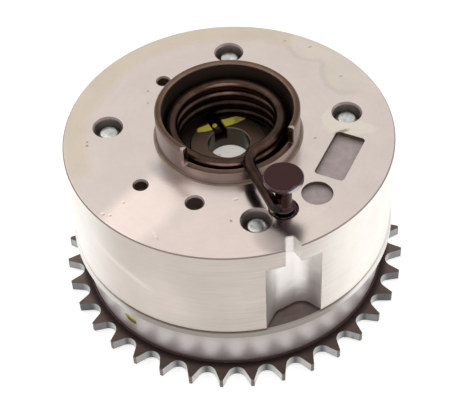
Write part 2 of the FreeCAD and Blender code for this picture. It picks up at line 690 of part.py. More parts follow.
def make_lock_cap():
    """The cap that closes the lock pin's bore, with a spigot inside the spring and a vent."""
    outer = LOCK_BORE_R - SEAT_GAP
    cap = turned([
        (CAP_VENT_R, LOCK_CAP_Z - CAP_SPIGOT_L), (CAP_SPIGOT_R, LOCK_CAP_Z - CAP_SPIGOT_L),
        (CAP_SPIGOT_R, LOCK_CAP_Z), (outer, LOCK_CAP_Z), (outer, LOCK_CAP_Z + LOCK_CAP_T),
        (CAP_VENT_R, LOCK_CAP_Z + LOCK_CAP_T),
    ])
    cap.translate(lock_axis())
    return one_solid(cap)


def make_lock_spring():
    """The coil spring between the lock pin's hollow and its cap."""
    z0 = LOCK_Z0 + LOCK_END_WALL + LOCK_WIRE_R + SEAT_GAP
    z1 = LOCK_CAP_Z - LOCK_WIRE_R - SEAT_GAP
    coils = Part.makeHelix((z1 - z0) / LOCK_COILS, z1 - z0, LOCK_COIL_R)
    spring = wire_solid(coils.Edges, V(LOCK_COIL_R, 0, 0), V(0, 1, 0), LOCK_WIRE_R)
    spring.translate(lock_axis() + V(0, 0, z0))
    return spring


def make_seal(r_back, r_lip, angle):
    """A seal strip: r_back is its back, r_lip its rubbing edge, which is rounded."""
    block = radial_block(min(r_back, r_lip), max(r_back, r_lip), SEAL_W, 0, ROTOR_Z0, ROTOR_Z1)
    lip = []
    for e in upright_edges(block, ROTOR_Z1 - ROTOR_Z0):
        if abs(e.Vertexes[0].Point.x - r_lip) < 1e-6:
            lip.append(e)
    block = block.makeFillet(SEAL_W / 4, lip)
    block.rotate(V(0, 0, 0), V(0, 0, 1), angle)
    return block


def make_leaf(r_floor, r_back, angle):
    """The bowed leaf spring between a slot's floor and the back of its seal."""
    side = 1 if r_back > r_floor else -1
    foot = r_floor + side * LEAF_AIR
    crown = r_back - side * (LEAF_AIR + LEAF_T)
    z0, z1 = ROTOR_Z0 + LEAF_INSET, ROTOR_Z1 - LEAF_INSET
    middle = (z0 + z1) / 2
    thick = side * LEAF_T
    width = SEAL_W - 2 * LEAF_SIDE
    y = -width / 2
    edges = [
        Part.Arc(V(foot, y, z0), V(crown, y, middle), V(foot, y, z1)).toShape(),
        Part.LineSegment(V(foot, y, z1), V(foot + thick, y, z1)).toShape(),
        Part.Arc(V(foot + thick, y, z1), V(crown + thick, y, middle), V(foot + thick, y, z0)).toShape(),
        Part.LineSegment(V(foot + thick, y, z0), V(foot, y, z0)).toShape(),
    ]
    leaf = Part.Face(Part.Wire(edges)).extrude(V(0, width, 0))
    leaf.rotate(V(0, 0, 0), V(0, 0, 1), angle)
    return one_solid(leaf)


def seal_nodes():
    """The vane and lobe seals and their leaf springs, as (name, shape)."""
    for i, (start, end) in enumerate(vanes(), 1):
        angle = (start + end) / 2
        back = VANE_LIP_R - VANE_SEAL_H
        yield "vane_seal_%d" % i, make_seal(back, VANE_LIP_R, angle)
        yield "vane_seal_spring_%d" % i, make_leaf(VANE_SLOT_R, back, angle)
    for i, (_, _, angle) in enumerate(lobes(), 1):
        back = LOBE_LIP_R + LOBE_SEAL_H
        yield "lobe_seal_%d" % i, make_seal(back, LOBE_LIP_R, angle)
        yield "lobe_seal_spring_%d" % i, make_leaf(LOBE_SLOT_R, back, angle)


def nodes():
    """Every piece of the camshaft gear, as (name, shape)."""
    yield "sprocket", make_sprocket()
    yield "housing", make_housing()
    yield "housing_bolts", make_bolts()
    yield "anchor_pin", make_anchor_pin()
    yield "lock_bush", make_lock_bush()
    yield "rotor", make_rotor()
    yield "spring_cup", make_cup()
    yield "torsion_spring", make_torsion_spring()
    yield "lock_pin", make_lock_pin()
    yield "lock_spring", make_lock_spring()
    yield "lock_cap", make_lock_cap()
    yield from seal_nodes()


def main():
    os.makedirs("parts", exist_ok=True)
    for name, shape in nodes():
        if not shape.isValid():
            raise ValueError("the shape of %s is not valid" % name)
        shape.exportStep("parts/%s.step" % name)


main()
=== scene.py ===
"""Camshaft gear with a built-in timing adjuster: finishes, small pieces, stage and camera.

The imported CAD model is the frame. Lengths are metres in the CAD's own frame: the origin is on the
axis at the sprocket's rear face, and +Z points to the front.
"""
import math

import bpy
from mathutils import Matrix, Vector


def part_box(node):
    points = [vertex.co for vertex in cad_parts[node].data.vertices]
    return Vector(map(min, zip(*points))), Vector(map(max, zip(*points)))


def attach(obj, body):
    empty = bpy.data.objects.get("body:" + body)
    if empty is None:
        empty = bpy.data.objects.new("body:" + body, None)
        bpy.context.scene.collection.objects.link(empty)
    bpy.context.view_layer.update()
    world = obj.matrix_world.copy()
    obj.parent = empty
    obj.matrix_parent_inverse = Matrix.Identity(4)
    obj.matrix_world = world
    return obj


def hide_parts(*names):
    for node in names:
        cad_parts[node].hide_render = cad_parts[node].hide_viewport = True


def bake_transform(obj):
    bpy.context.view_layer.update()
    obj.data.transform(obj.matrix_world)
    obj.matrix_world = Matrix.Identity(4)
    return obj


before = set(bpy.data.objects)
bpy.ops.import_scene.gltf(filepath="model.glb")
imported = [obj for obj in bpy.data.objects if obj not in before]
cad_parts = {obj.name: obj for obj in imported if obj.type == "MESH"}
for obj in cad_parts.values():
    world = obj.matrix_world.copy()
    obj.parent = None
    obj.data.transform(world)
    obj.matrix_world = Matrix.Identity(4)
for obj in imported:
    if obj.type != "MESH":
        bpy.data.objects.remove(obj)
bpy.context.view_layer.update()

bl_info = {
    "name": "Camshaft gear",
    "version": (1, 0, 0),
    "blender": (4, 5, 0),
    "location": "3D View > Sidebar > Camshaft gear",
    "description": "Finishes, springs, bolts and stage for a camshaft gear",
    "category": "Object",
}

MM = 0.001

FACE_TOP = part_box("housing")[1].z
SPROCKET_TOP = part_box("sprocket")[1].z
CUP_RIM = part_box("spring_cup")[1].z
BOLT_BACK, BOLT_TIP = (corner.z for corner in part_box("housing_bolts"))
SPRING_BACK, SPRING_FRONT = (corner.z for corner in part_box("torsion_spring"))


def mm(*numbers):
    """Lengths in metres, from millimetres."""
    return [number * MM for number in numbers]


def polar(r, angle, z=0.0):
    """The point at radius r and an angle in degrees."""
    return Vector((r * math.cos(math.radians(angle)), r * math.sin(math.radians(angle)), z))


# Where the bolts and the anchor pin stand: radius in millimetres and angle in degrees

BOLT_CIRCLE = 32.0
BOLT_ANGLES = (9.35, 87.7, 172.4, 280.3)
ANCHOR_CIRCLE, ANCHOR_ANGLE = 30.7, 294.2


# Sizes and colours that a user would change


def length(name, description, default):
    """A length property in metres."""
    return bpy.props.FloatProperty(
        name=name, description=description, default=default, subtype="DISTANCE",
        unit="LENGTH", precision=5)


def degrees(name, description, default):
    """An angle property, given in degrees."""
    return bpy.props.FloatProperty(
        name=name, description=description, default=math.radians(default), subtype="ANGLE")


def colour(name, description, default):
    """A colour property."""
    return bpy.props.FloatVectorProperty(
        name=name, description=description, default=default, subtype="COLOR", size=3,
        min=0.0, max=1.0)


class GEAR_PG_spring(bpy.types.PropertyGroup):
    """Sizes of the torsion spring."""

    wire_radius: length("Wire radius", "Half the wire's thickness", 1.5 * MM)
    coil_radius: length("Coil radius", "From the axis to the middle of the wire", 14.3 * MM)
    top_shift: bpy.props.FloatVectorProperty(
        name="Top coil shift", description="How far the legs' pull moves the top coil sideways",
        subtype="TRANSLATION", default=(-0.5 * MM, 0.25 * MM, 0.0))
    turns: bpy.props.IntProperty(name="Turns", description="Whole turns", default=3, min=1)
    low_height: length("Low coil height", "Height of the first coil's wire",
                       SPRING_BACK + 1.5 * MM)
    top_height: length("Top coil height", "Height of the last coil's wire",
                       SPRING_FRONT - 1.5 * MM)
    inner_angle: degrees("Inner leg angle", "Direction of the leg in the boss slot", 113.4)
    inner_bend: length("Inner bend radius", "Bend between the inner leg and the coil", 3.0 * MM)
    inner_end: length("Inner leg end", "From the axis to the inner leg's end", 6.9 * MM)
    outer_angle: degrees("Outer leg angle", "Direction in which the outer leg runs", -69.0)
    outer_bend: length("Outer bend radius", "Bend between the coil and the outer leg", 6.0 * MM)
    pin_radius: length("Pin circle radius", "From the axis to the anchor pin",
                       ANCHOR_CIRCLE * MM)
    pin_angle: degrees("Pin angle", "Where the anchor pin stands", ANCHOR_ANGLE)
    pin_side: length("Beside the pin", "From the pin's axis to the middle of the wire", 3.65 * MM)
    leg_past: length("Leg past the pin", "How far the outer leg runs past the pin", 4.0 * MM)


class GEAR_PG_lock_spring(bpy.types.PropertyGroup):
    """Sizes of the small spring behind the lock pin."""

    wire_radius: length("Wire radius", "Half the wire's thickness", 0.35 * MM)
    turns: bpy.props.IntProperty(name="Turns", description="Whole turns", default=7, min=1)


class GEAR_PG_bolts(bpy.types.PropertyGroup):
    """Sizes of the four housing bolts."""

    circle_radius: length("Bolt circle radius", "From the axis to each bolt",
                          BOLT_CIRCLE * MM)
    angle_1: degrees("Bolt 1 angle", "Where the first bolt sits", BOLT_ANGLES[0])
    angle_2: degrees("Bolt 2 angle", "Where the second bolt sits", BOLT_ANGLES[1])
    angle_3: degrees("Bolt 3 angle", "Where the third bolt sits", BOLT_ANGLES[2])
    angle_4: degrees("Bolt 4 angle", "Where the fourth bolt sits", BOLT_ANGLES[3])
    shank_radius: length("Shank radius", "Radius over the thread", 2.95 * MM)
    pitch: length("Thread pitch", "Distance from one thread to the next", 1.0 * MM)
    thread_depth: length("Thread depth", "From the crest to the root of the thread", 0.5 * MM)
    thread_length: length("Thread length", "Threaded length behind the point", 13.0 * MM)
    point: length("Point height", "Height of the chamfered point", 0.7 * MM)
    flange_radius: length("Flange radius", "Radius of the flange under the head", 6.0 * MM)
    flange_height: length("Flange height", "Thickness of the flange", 1.3 * MM)
    head_height: length("Head height", "Height of the hexagon", 4.6 * MM)
    flats: length("Across flats", "Width of the hexagon", 10.0 * MM)


class GEAR_PG_oil(bpy.types.PropertyGroup):
    """The bead of dried oil round the spring cup."""

    cup_radius: length("Cup radius", "Radius of the cup's wall", 18.8 * MM)
    width: length("Width", "From the cup's wall to the outside of the bead", 0.85 * MM)
    height: length("Height", "How far the bead stands above the face", 0.14 * MM)
    tone: colour("Colour", "Dried oil in a thick bead", (0.36, 0.265, 0.2))


class GEAR_PG_finish(bpy.types.PropertyGroup):
    """Colours of the finishes."""

    face: colour("Face", "Machined front of the housing", (0.65, 0.565, 0.523))
    # side and side ends differ by painted reflection: the side's middle mirrors the shaded floor,
    # and its left and right ends mirror the bright room round it
    side: colour("Side", "Turned side of the housing", (0.53, 0.472, 0.425))
    side_ends: colour("Side ends", "Side of the housing at the left and right",
                      (0.92, 0.88, 0.82))
    cast: colour("Cast wall", "Unmachined casting in the side pocket", (0.79, 0.76, 0.73))
    oil: colour("Oil stain", "Dried oil on the housing", (0.60, 0.52, 0.395))
    oxide: colour("Oxide", "Heat-treated skin of the sprocket", (0.075, 0.055, 0.051))
    bright_steel: colour("Bright steel", "Ground steel", (0.66, 0.66, 0.63))
    band: colour("Band", "Ground band of the sprocket", (0.70, 0.635, 0.62))
    cup: colour("Cup", "Heat-treated skin of the spring cup", (0.145, 0.088, 0.06))
    spring: colour("Spring", "Oil-tempered spring wire", (0.052, 0.029, 0.022))
    pin: colour("Pin", "Hardened anchor pin", (0.046, 0.023, 0.024))
    # the rotor's near-white colour is partly painted light, which makes the well behind the boss
    # bright
    rotor: colour("Rotor", "Machined rotor", (0.95, 0.93, 0.90))
    paint: colour("Marking paint", "Yellow marking paint", (0.70, 0.61, 0.07))
    plastic: colour("Seal", "Dark seal strips", (0.035, 0.032, 0.03))


class GEAR_PG_stage(bpy.types.PropertyGroup):
    """The floor, the light and the camera."""

    floor: colour("Floor", "Colour of the plain floor", (0.92, 0.92, 0.92))
    floor_width: length("Floor width", "Side of the square floor", 6.0)
    world_light: bpy.props.FloatProperty(
        name="World light", description="Light from all round", default=0.5, min=0.0)
    main_light: bpy.props.FloatProperty(
        name="Main lamp", description="Power of the large lamp at the back left, in watts",
        default=0.8, min=0.0)
    fill_light: bpy.props.FloatProperty(
        name="Fill lamp", description="Power of the lamp at the right, in watts",
        default=0.4, min=0.0)
    floor_glow: bpy.props.FloatProperty(
        name="Floor glow", description="What the floor adds where it is seen", default=0.65,
        min=0.0)
    camera_place: bpy.props.FloatVectorProperty(
        name="Camera place", description="Where the camera stands", subtype="TRANSLATION",
        default=(-0.000123, -0.23529, 0.27441))
    camera_tilt: degrees("Camera tilt", "How far the camera looks down", 47.108)
    camera_roll: degrees("Camera roll", "Turn of the camera about its own line of sight", 3.002)
    camera_lens: bpy.props.FloatProperty(
        name="Lens", description="Focal length in millimetres", default=96.99, min=1.0)


# Node trees, written down step by step


def join(tree, socket, value):
    """Gives an input a plain value, or joins it to another node's output."""
    if isinstance(value, bpy.types.NodeSocket):
        tree.links.new(value, socket)
    elif value is not None:
        socket.default_value = value


class Sketch:
    """A node tree and short ways to add to it."""

    def __init__(self, tree):
        self.tree = tree

    def add(self, kind, inputs=None, **settings):
        """A node with its settings and inputs. Inputs go by name or by number."""
        node = self.tree.nodes.new(kind)
        for name, value in settings.items():
            setattr(node, name, value)
        for key, value in (inputs or {}).items():
            join(self.tree, node.inputs[key], value)
        return node

    def close(self, **results):
        """Joins the results to the tree's outputs by name, and returns the tree."""
        end = self.add("NodeGroupOutput")
        for name, value in results.items():
            join(self.tree, end.inputs[name], value)
        return self.tree

    def math(self, how, a, b=None):
        """A number from a Math node."""
        return self.add("ShaderNodeMath", {0: a, 1: b}, operation=how).outputs[0]

    def plus(self, a, b):
        """The sum of two numbers."""
        return self.math("ADD", a, b)

    def minus(self, a, b):
        """One number less another."""
        return self.math("SUBTRACT", a, b)

    def times(self, a, b):
        """The product of two numbers."""
        return self.math("MULTIPLY", a, b)

    def over(self, a, b):
        """One number divided by another."""
        return self.math("DIVIDE", a, b)

    def above(self, a, limit):
        """1 where a number is greater than the limit."""
        return self.math("GREATER_THAN", a, limit)

    def below(self, a, limit):
        """1 where a number is less than the limit."""
        return self.math("LESS_THAN", a, limit)

    def vector(self, how, a, b=None, scale=None):
        """A vector, or a length or dot product, from a Vector Math node."""
        node = self.add("ShaderNodeVectorMath", {0: a, 1: b, 3: scale}, operation=how)
        return node.outputs[1 if how in {"LENGTH", "DOT_PRODUCT"} else 0]

    def split(self, vector):
        """The x, y and z of a vector."""
        return self.add("ShaderNodeSeparateXYZ", {0: vector}).outputs

    def combine(self, x=0.0, y=0.0, z=0.0):
        """A vector from x, y and z."""
        return self.add("ShaderNodeCombineXYZ", {0: x, 1: y, 2: z}).outputs[0]

    def ease(self, value, low, high, start=0.0, end=1.0):
        """start below low, end above high, and smooth between them."""
        node = self.add("ShaderNodeMapRange", {0: value, 1: low, 2: high, 3: start, 4: end},
                        interpolation_type="SMOOTHSTEP")
        return node.outputs[0]

    def fade(self, value, low, high):
        """1 below low, 0 above high, and smooth between them."""
        return self.ease(value, low, high, 1.0, 0.0)

    def round_axis(self, radius, angle, height=0.0):
        """A place from its distance to the axis, its angle and its height."""
        return self.combine(self.times(radius, self.math("COSINE", angle)),
                            self.times(radius, self.math("SINE", angle)), height)

    def turned(self, vector, angle):
        """A vector turned about the axis."""
        return self.add("ShaderNodeVectorRotate", {"Vector": vector, "Angle": angle},
                        rotation_type="Z_AXIS").outputs[0]

    def mix(self, share, a, b, kind="RGBA"):
        """a where share is 0, and b where it is 1."""
        node = self.add("ShaderNodeMix", data_type=kind)
        first, made = {"RGBA": (6, 2), "FLOAT": (2, 0)}[kind]
        join(self.tree, node.inputs[0], share)
        for number, value in enumerate((a, b), first):
            join(self.tree, node.inputs[number], full_colour(value) if kind == "RGBA" else value)
        return node.outputs[made]

    def noise(self, vector, scale, detail=2.0, rough=0.5):
        """Soft noise between 0 and 1."""
        node = self.add("ShaderNodeTexNoise", {"Vector": vector, "Scale": scale,
                                               "Detail": detail, "Roughness": rough})
        return node.outputs[0]

    def place(self):
        """The point on the piece itself, which stays with it as it moves."""
        return self.add("ShaderNodeTexCoord").outputs["Object"]

    def facing(self):
        """The surface's direction."""
        return self.add("ShaderNodeNewGeometry").outputs["Normal"]


def full_colour(value):
    """A colour with its fourth number, or a socket as it is."""
    return value if isinstance(value, bpy.types.NodeSocket) else (*tuple(value)[:3], 1.0)


def new_tree(name, kind, inputs, outputs):
    """The sketch of an empty node tree with named sockets, and its inputs by name."""
    tree = bpy.data.node_groups.new(name, kind)
    for label, socket_type, default in inputs:
        socket = tree.interface.new_socket(label, in_out="INPUT", socket_type=socket_type)
        if default is not None:
            socket.default_value = default
    for label, socket_type in outputs:
        tree.interface.new_socket(label, in_out="OUTPUT", socket_type=socket_type)
    sketch = Sketch(tree)
    start = sketch.add("NodeGroupInput")
    return sketch, {socket.name: socket for socket in start.outputs if socket.name}


FLOAT, VECTOR = "NodeSocketFloat", "NodeSocketVector"
INT, GEOMETRY, MATERIAL = "NodeSocketInt", "NodeSocketGeometry", "NodeSocketMaterial"


# Effects that the finishes share


def patch_effect():
    """A ragged soft-edged spot: Place and Size give its ellipse, Turn its direction."""
    sketch, given = new_tree(
        "Patch", "ShaderNodeTree",
        [("Place", VECTOR, (0, 0, 0)), ("Size", VECTOR, (MM, MM, MM)), ("Turn", FLOAT, 0.0),
         ("Edge", FLOAT, 0.4), ("Ragged", FLOAT, 0.3), ("Grain", FLOAT, 2 * MM)],
        [("Mask", FLOAT)])
    point = sketch.place()
    local = sketch.turned(sketch.vector("SUBTRACT", point, given["Place"]),
                          sketch.times(given["Turn"], -1.0))
    reach = sketch.vector("LENGTH", sketch.vector("DIVIDE", local, given["Size"]))
    wobble = sketch.noise(sketch.vector("ADD", point, given["Place"]),
                          sketch.over(1.0, given["Grain"]), 3.0, 0.6)
    raggedness = sketch.times(sketch.minus(wobble, 0.5), sketch.times(given["Ragged"], 2.0))
    mask = sketch.fade(sketch.plus(reach, raggedness), sketch.minus(1.0, given["Edge"]),
                       sketch.plus(1.0, given["Edge"]))
    return sketch.close(Mask=mask)


def specks_effect():
    """Small dots of dirt, thrown over the surface."""
    sketch, given = new_tree(
        "Specks", "ShaderNodeTree",
        [("Spacing", FLOAT, 2 * MM), ("Share", FLOAT, 0.2), ("Dot", FLOAT, 0.15)],
        [("Mask", FLOAT)])
    cells = sketch.add("ShaderNodeTexVoronoi", {
        "Vector": sketch.place(), "Scale": sketch.over(1.0, given["Spacing"])})
    chance, own_size, _ = sketch.split(cells.outputs["Color"])
    kept = sketch.below(chance, given["Share"])
    size = sketch.times(given["Dot"], sketch.plus(0.4, own_size))
    dot = sketch.fade(cells.outputs["Distance"], sketch.times(size, 0.5), size)
    return sketch.close(Mask=sketch.times(kept, dot))


def edge_effect():
    """Worn edges: Mask is strong where the surface turns, and Normal rounds the edge."""
    sketch, given = new_tree(
        "Edge wear", "ShaderNodeTree",
        [("Reach", FLOAT, 0.25 * MM), ("Grain", FLOAT, 1.5 * MM)],
        [("Mask", FLOAT), ("Normal", VECTOR)])
    rounded = sketch.add("ShaderNodeBevel", {"Radius": given["Reach"]}, samples=6).outputs[0]
    turned = sketch.minus(1.0, sketch.vector("DOT_PRODUCT", rounded, sketch.facing()))
    patchy = sketch.noise(sketch.place(), sketch.over(1.0, given["Grain"]), 3.0, 0.65)
    worn = sketch.times(sketch.ease(turned, 0.005, 0.09), sketch.ease(patchy, 0.25, 0.6, 0.35, 1.0))
    return sketch.close(Mask=worn, Normal=rounded)


def turning_effect():
    """Fine lines left by a lathe: rings on a flat face, and level lines on a side."""
    sketch, given = new_tree(
        "Turning lines", "ShaderNodeTree",
        [("Spacing", FLOAT, 0.4 * MM), ("Run", FLOAT, 14 * MM)], [("Tone", FLOAT)])
    x, y, z = sketch.split(sketch.place())
    radius = sketch.vector("LENGTH", sketch.combine(x, y))
    fine, along = sketch.over(1.0, given["Spacing"]), sketch.over(1.0, given["Run"])
    lines = sketch.combine(sketch.times(x, along), sketch.times(y, along),
                           sketch.times(sketch.plus(radius, z), fine))
    return sketch.close(Tone=sketch.noise(lines, 1.0, 3.0, 0.6))


def clouds_effect():
    """Slow and fine unevenness of a skin of oxide, oil or casting."""
    sketch, given = new_tree(
        "Clouds", "ShaderNodeTree",
        [("Size", FLOAT, 8 * MM), ("Contrast", FLOAT, 1.0), ("Shift", VECTOR, (0, 0, 0))],
        [("Tone", FLOAT)])
    noise = sketch.noise(sketch.vector("ADD", sketch.place(), given["Shift"]),
                         sketch.over(1.0, given["Size"]), 5.0, 0.6)
    spread = sketch.times(sketch.minus(noise, 0.5), given["Contrast"])
    tone = sketch.add("ShaderNodeClamp", {0: sketch.plus(0.5, spread)}).outputs[0]
    return sketch.close(Tone=tone)


def scratches_effect():
    """Thin scratches that run about one way: Turn is their direction on the face."""
    sketch, given = new_tree(
        "Scratches", "ShaderNodeTree",
        [("Turn", FLOAT, 0.0), ("Length", FLOAT, 8 * MM), ("Width", FLOAT, 0.2 * MM),
         ("Share", FLOAT, 0.1)], [("Mask", FLOAT)])
    point = sketch.place()
    waves = sketch.add("ShaderNodeTexNoise", {"Vector": point, "Scale": 60.0}).outputs["Color"]
    bent = sketch.vector("ADD", point, sketch.vector("SCALE", waves, scale=3 * MM))
    x, y, z = sketch.split(sketch.turned(bent, given["Turn"]))
    cells = sketch.add("ShaderNodeTexVoronoi", {"Vector": sketch.combine(
        sketch.over(x, given["Length"]), sketch.over(y, given["Width"]),
        sketch.over(z, given["Length"])), "Scale": 0.25})
    kept = sketch.below(sketch.split(cells.outputs["Color"])[0], given["Share"])
    line = sketch.fade(cells.outputs["Distance"], 0.05, 0.22)
    return sketch.close(Mask=sketch.times(kept, line))


EFFECTS = {"Patch": patch_effect, "Specks": specks_effect, "Edge wear": edge_effect,
           "Turning lines": turning_effect, "Clouds": clouds_effect,
           "Scratches": scratches_effect}


def shared_effect(name):
    """One of the shared effects, which is built when it is first asked for."""
    return bpy.data.node_groups.get(name) or EFFECTS[name]()


# Half heights of a spot on the face and of a column through it, in millimetres

SPOT_DEPTH, COLUMN_DEPTH = 3.0, 1000.0


class Finish(Sketch):
    """A metal or plastic skin, with layers of colour and roughness laid on it.

    Its clouds, lines, specks, scratches, wear and patches take their lengths in millimetres.
    """

    def __init__(self, name, base, rough, metallic=1.0):
        self.material = bpy.data.materials.new(name)
        self.material.use_nodes = True
        super().__init__(self.material.node_tree)
        self.tree.nodes.clear()
        self.skin = self.add("ShaderNodeBsdfPrincipled")
        self.skin.inputs["Metallic"].default_value = metallic
        end = self.add("ShaderNodeOutputMaterial")
        self.tree.links.new(self.skin.outputs[0], end.inputs["Surface"])
        self.base, self.rough, self.metallic = full_colour(base), rough, metallic
        self.height, self.normal = None, None

    def effect(self, name, output=0, **inputs):
        """One of the shared effects with its own values."""
        node = self.add("ShaderNodeGroup", node_tree=shared_effect(name))
        for key, value in inputs.items():
            join(self.tree, node.inputs[key], value)
        return node.outputs[output]

    def clouds(self, size, contrast, shift=(0.0, 0.0, 0.0)):
        """Slow unevenness between 0 and 1."""
        return self.effect("Clouds", Size=size * MM, Contrast=contrast, Shift=shift)

    def turning(self, spacing, run):
        """Lathe lines: how far apart they are, and how long one stays the same."""
        return self.effect("Turning lines", Spacing=spacing * MM, Run=run * MM)

    def specks(self, spacing, share, dot):
        """Dots of dirt: how far apart, how many of them are there, and how large."""
        return self.effect("Specks", Spacing=spacing * MM, Share=share, Dot=dot)

    def scratches(self, turn, length, width, share):
        """Thin scratches that run one way."""
        return self.effect("Scratches", Turn=turn, Length=length * MM, Width=width * MM,
                           Share=share)

    def wear(self, reach, grain):
        """Where the edges are worn. The skin's edges get rounded as well."""
        mask = self.effect("Edge wear", "Mask", Reach=reach * MM, Grain=grain * MM)
        self.normal = mask.node.outputs["Normal"]
        return mask

    def patch(self, at, size, turn=0.0, edge=0.3, ragged=0.3, grain=2.0):
        """A soft-edged spot: its middle, its three half widths and its direction in degrees."""
        return self.effect("Patch", Place=Vector(at) * MM, Size=Vector(size) * MM,
                           Turn=math.radians(turn), Edge=edge, Ragged=ragged, Grain=grain * MM)

    def spot(self, at, size, *ways):
        """A patch on the face of the housing. ways goes on as in patch."""
        across, along = size if isinstance(size, tuple) else (size, size)
        return self.patch((*at, FACE_TOP / MM), (across, along, SPOT_DEPTH), *ways)

    def column(self, r, angle, radius):
        """Inside an upright round hole that stands at r and an angle in degrees."""
        return self.patch(polar(r, angle, FACE_TOP / MM), (radius, radius, COLUMN_DEPTH),
                          edge=0.01, ragged=0.0)

    def measures(self):
        """The point's x, y, z and distance from the axis, and how far the surface faces up."""
        x, y, z = self.split(self.place())
        normal_z = self.split(self.facing())[2]
        return x, y, z, self.vector("LENGTH", self.combine(x, y)), normal_z

    def both(self, *masks):
        """Where all of the masks are."""
        made = masks[0]
        for mask in masks[1:]:
            made = self.times(made, mask)
        return made

    def without(self, mask):
        """Everywhere that the mask is not."""
        return self.minus(1.0, mask)

    def any_of(self, masks):
        """Where any of the masks is."""
        made = masks[0]
        for mask in masks[1:]:
            made = self.math("MAXIMUM", made, mask)
        return made

    def between(self, value, low, high):
        """Where a value lies between two others, with hard edges."""
        return self.both(self.above(value, low), self.below(value, high))

    def within(self, value, *ends):
        """Rises from the first end to the second, and falls from the third to the fourth."""
        return self.both(self.ease(value, *ends[:2]), self.fade(value, *ends[2:]))

    def lay(self, mask, colour=None, rough=None, share=1.0, metallic=None):
        """Lays a colour and a roughness on the skin where the mask, or each of a list, is."""
        if isinstance(mask, list):
            mask = self.both(*mask)
        mask = mask if share == 1.0 else self.times(mask, share)
        if colour is not None:
            self.base = self.mix(mask, self.base, colour)
        if rough is not None:
            self.rough = self.mix(mask, self.rough, rough, "FLOAT")
        if metallic is not None:
            self.metallic = self.mix(mask, self.metallic, metallic, "FLOAT")

    def tint(self, tone, low, high, mask=None):
        """Makes the colour darker where tone is 0 and lighter where it is 1."""
        factor = self.add("ShaderNodeMapRange", {0: tone, 3: low, 4: high}).outputs[0]
        if mask is not None:
            factor = self.mix(mask, 1.0, factor, "FLOAT")
        self.base = self.add("ShaderNodeMix", {
            0: 1.0, 6: self.base, 7: self.combine(factor, factor, factor)},
            data_type="RGBA", blend_type="MULTIPLY").outputs[2]

    def raise_by(self, tone, height, mask=None):
        """Adds relief: height is in metres where tone is 1, and holds where the mask is."""
        height = height if mask is None else self.times(mask, height)
        added = self.times(tone, height)
        self.height = added if self.height is None else self.plus(self.height, added)

    def done(self):
        """Joins the layers to the skin and returns the material."""
        join(self.tree, self.skin.inputs["Base Color"], self.base)
        join(self.tree, self.skin.inputs["Roughness"], self.rough)
        join(self.tree, self.skin.inputs["Metallic"], self.metallic)
        normal = self.normal
        if self.height is not None:
            bump = self.add("ShaderNodeBump", {"Strength": 1.0, "Distance": 1.0,
                                               "Height": self.height, "Normal": normal})
            normal = bump.outputs[0]
        join(self.tree, self.skin.inputs["Normal"], normal)
        return self.material


def paint_node(names, material):
    """Gives a finish to CAD nodes by name."""
    for name in names:
        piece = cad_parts[name]
        for place in piece.material_slots:
            place.material = material


# Finish of the housing: where its surfaces lie, in metres, and the front of the gear along x

SIDE_R = 43.3 * MM
POCKET_BACK_R, POCKET_MOUTH_R = mm(36, 43.25)
RECESS_R = 39.2 * MM
OPENING_R = 19.8 * MM
FRONT = mm(-32, -24, 24, 33)

# Holes in the face: radius in millimetres and angle in degrees

BLIND_HOLES = [(28.75, 217.5), (27.3, 128.5)]
LOCK_VENT = (26.2, 249.2)

# Marks on the face: places and half widths in millimetres, turns in degrees

LOBES = [((25.0, 34.0), (7.3, 7.9)), ((33.0, 30.0), (8.0, 8.0)), ((33.5, 21.5), (7.6, 9.3)),
         ((40.5, 19.0), (8.0, 7.5))]
LOBE_BORDER = 0.9
CREAM_SPOTS = [((27.1, 2.6), (2.3, 3.9), 0), ((31.8, -0.9), (6.6, 2.5), -4)]
SHADES = [((-16.7, -13.8), (2.2, 5.0), 40), ((14.5, -35.5), (3.0, 2.4), 0)]
DIRT_SPOTS = [((29.4, -2.1), (2.0, 0.6)), ((-37.0, -1.0), 0.32), ((-37.0, -2.4), 0.38),
              ((-21.2, 17.6), 0.3), ((-21.2, 12.8), 0.26), ((-0.5, -31.3), 0.34),
              ((22.4, -3.9), (0.4, 0.22)), ((31.4, 19.6), (0.35, 0.2)),
              ((24.0, 32.4), (0.6, 0.2)), ((17.2, 35.6), (0.5, 0.18))]
BURRS = [((-32.2, -26.5), (0.5, 0.36), 20), ((-30.4, -27.0), (0.34, 0.28), 20),
         ((-27.2, -22.9), (0.34, 0.32), 60), ((0.8, -23.9), (0.6, 0.3), 12),
         ((-19.1, -34.6), (0.3, 1.2), 25)]
BURR_SHADOW = (0.25, -0.45)

# Tones laid on the housing

PINK_SIDE = (0.63, 0.555, 0.505)
SIDE_SMEAR = (0.80, 0.74, 0.68)
FOOT_OIL_AND_LIGHT = (0.55, 0.48, 0.43)
LIT_CAST_PATCH = (0.95, 0.92, 0.895)
SHADED_CAST = (0.57, 0.53, 0.515)
POCKET_BOTTOM_DARK = (0.17, 0.13, 0.065)
WARM_FACE = (0.74, 0.625, 0.57)
LOBE_EDGE = (0.545, 0.47, 0.42)
LOBE_OIL = (0.655, 0.58, 0.505)
CREAM_OIL = (0.70, 0.645, 0.545)
FACE_BEAM = (0.88, 0.735, 0.665)
FACE_BY_CUP = (0.84, 0.74, 0.70)
FACE_BY_BOLT = (0.61, 0.53, 0.49)
MIRRORED_LEG = (0.38, 0.31, 0.30)
FACE_SHADE = (0.42, 0.375, 0.36)
FACE_DIRT = (0.20, 0.16, 0.09)
FACE_SPECKS = (0.34, 0.27, 0.22)
BURR_PAINTED_SHADOW = (0.42, 0.33, 0.29)
BURR_PAINTED_HIGHLIGHT = (0.95, 0.84, 0.78)
FACE_SCRATCH = (0.80, 0.71, 0.66)
HOLE_RIM = (0.27, 0.21, 0.21)
BLIND_RIM = (0.20, 0.16, 0.14)
RECESS_FLOOR = (0.40, 0.34, 0.33)
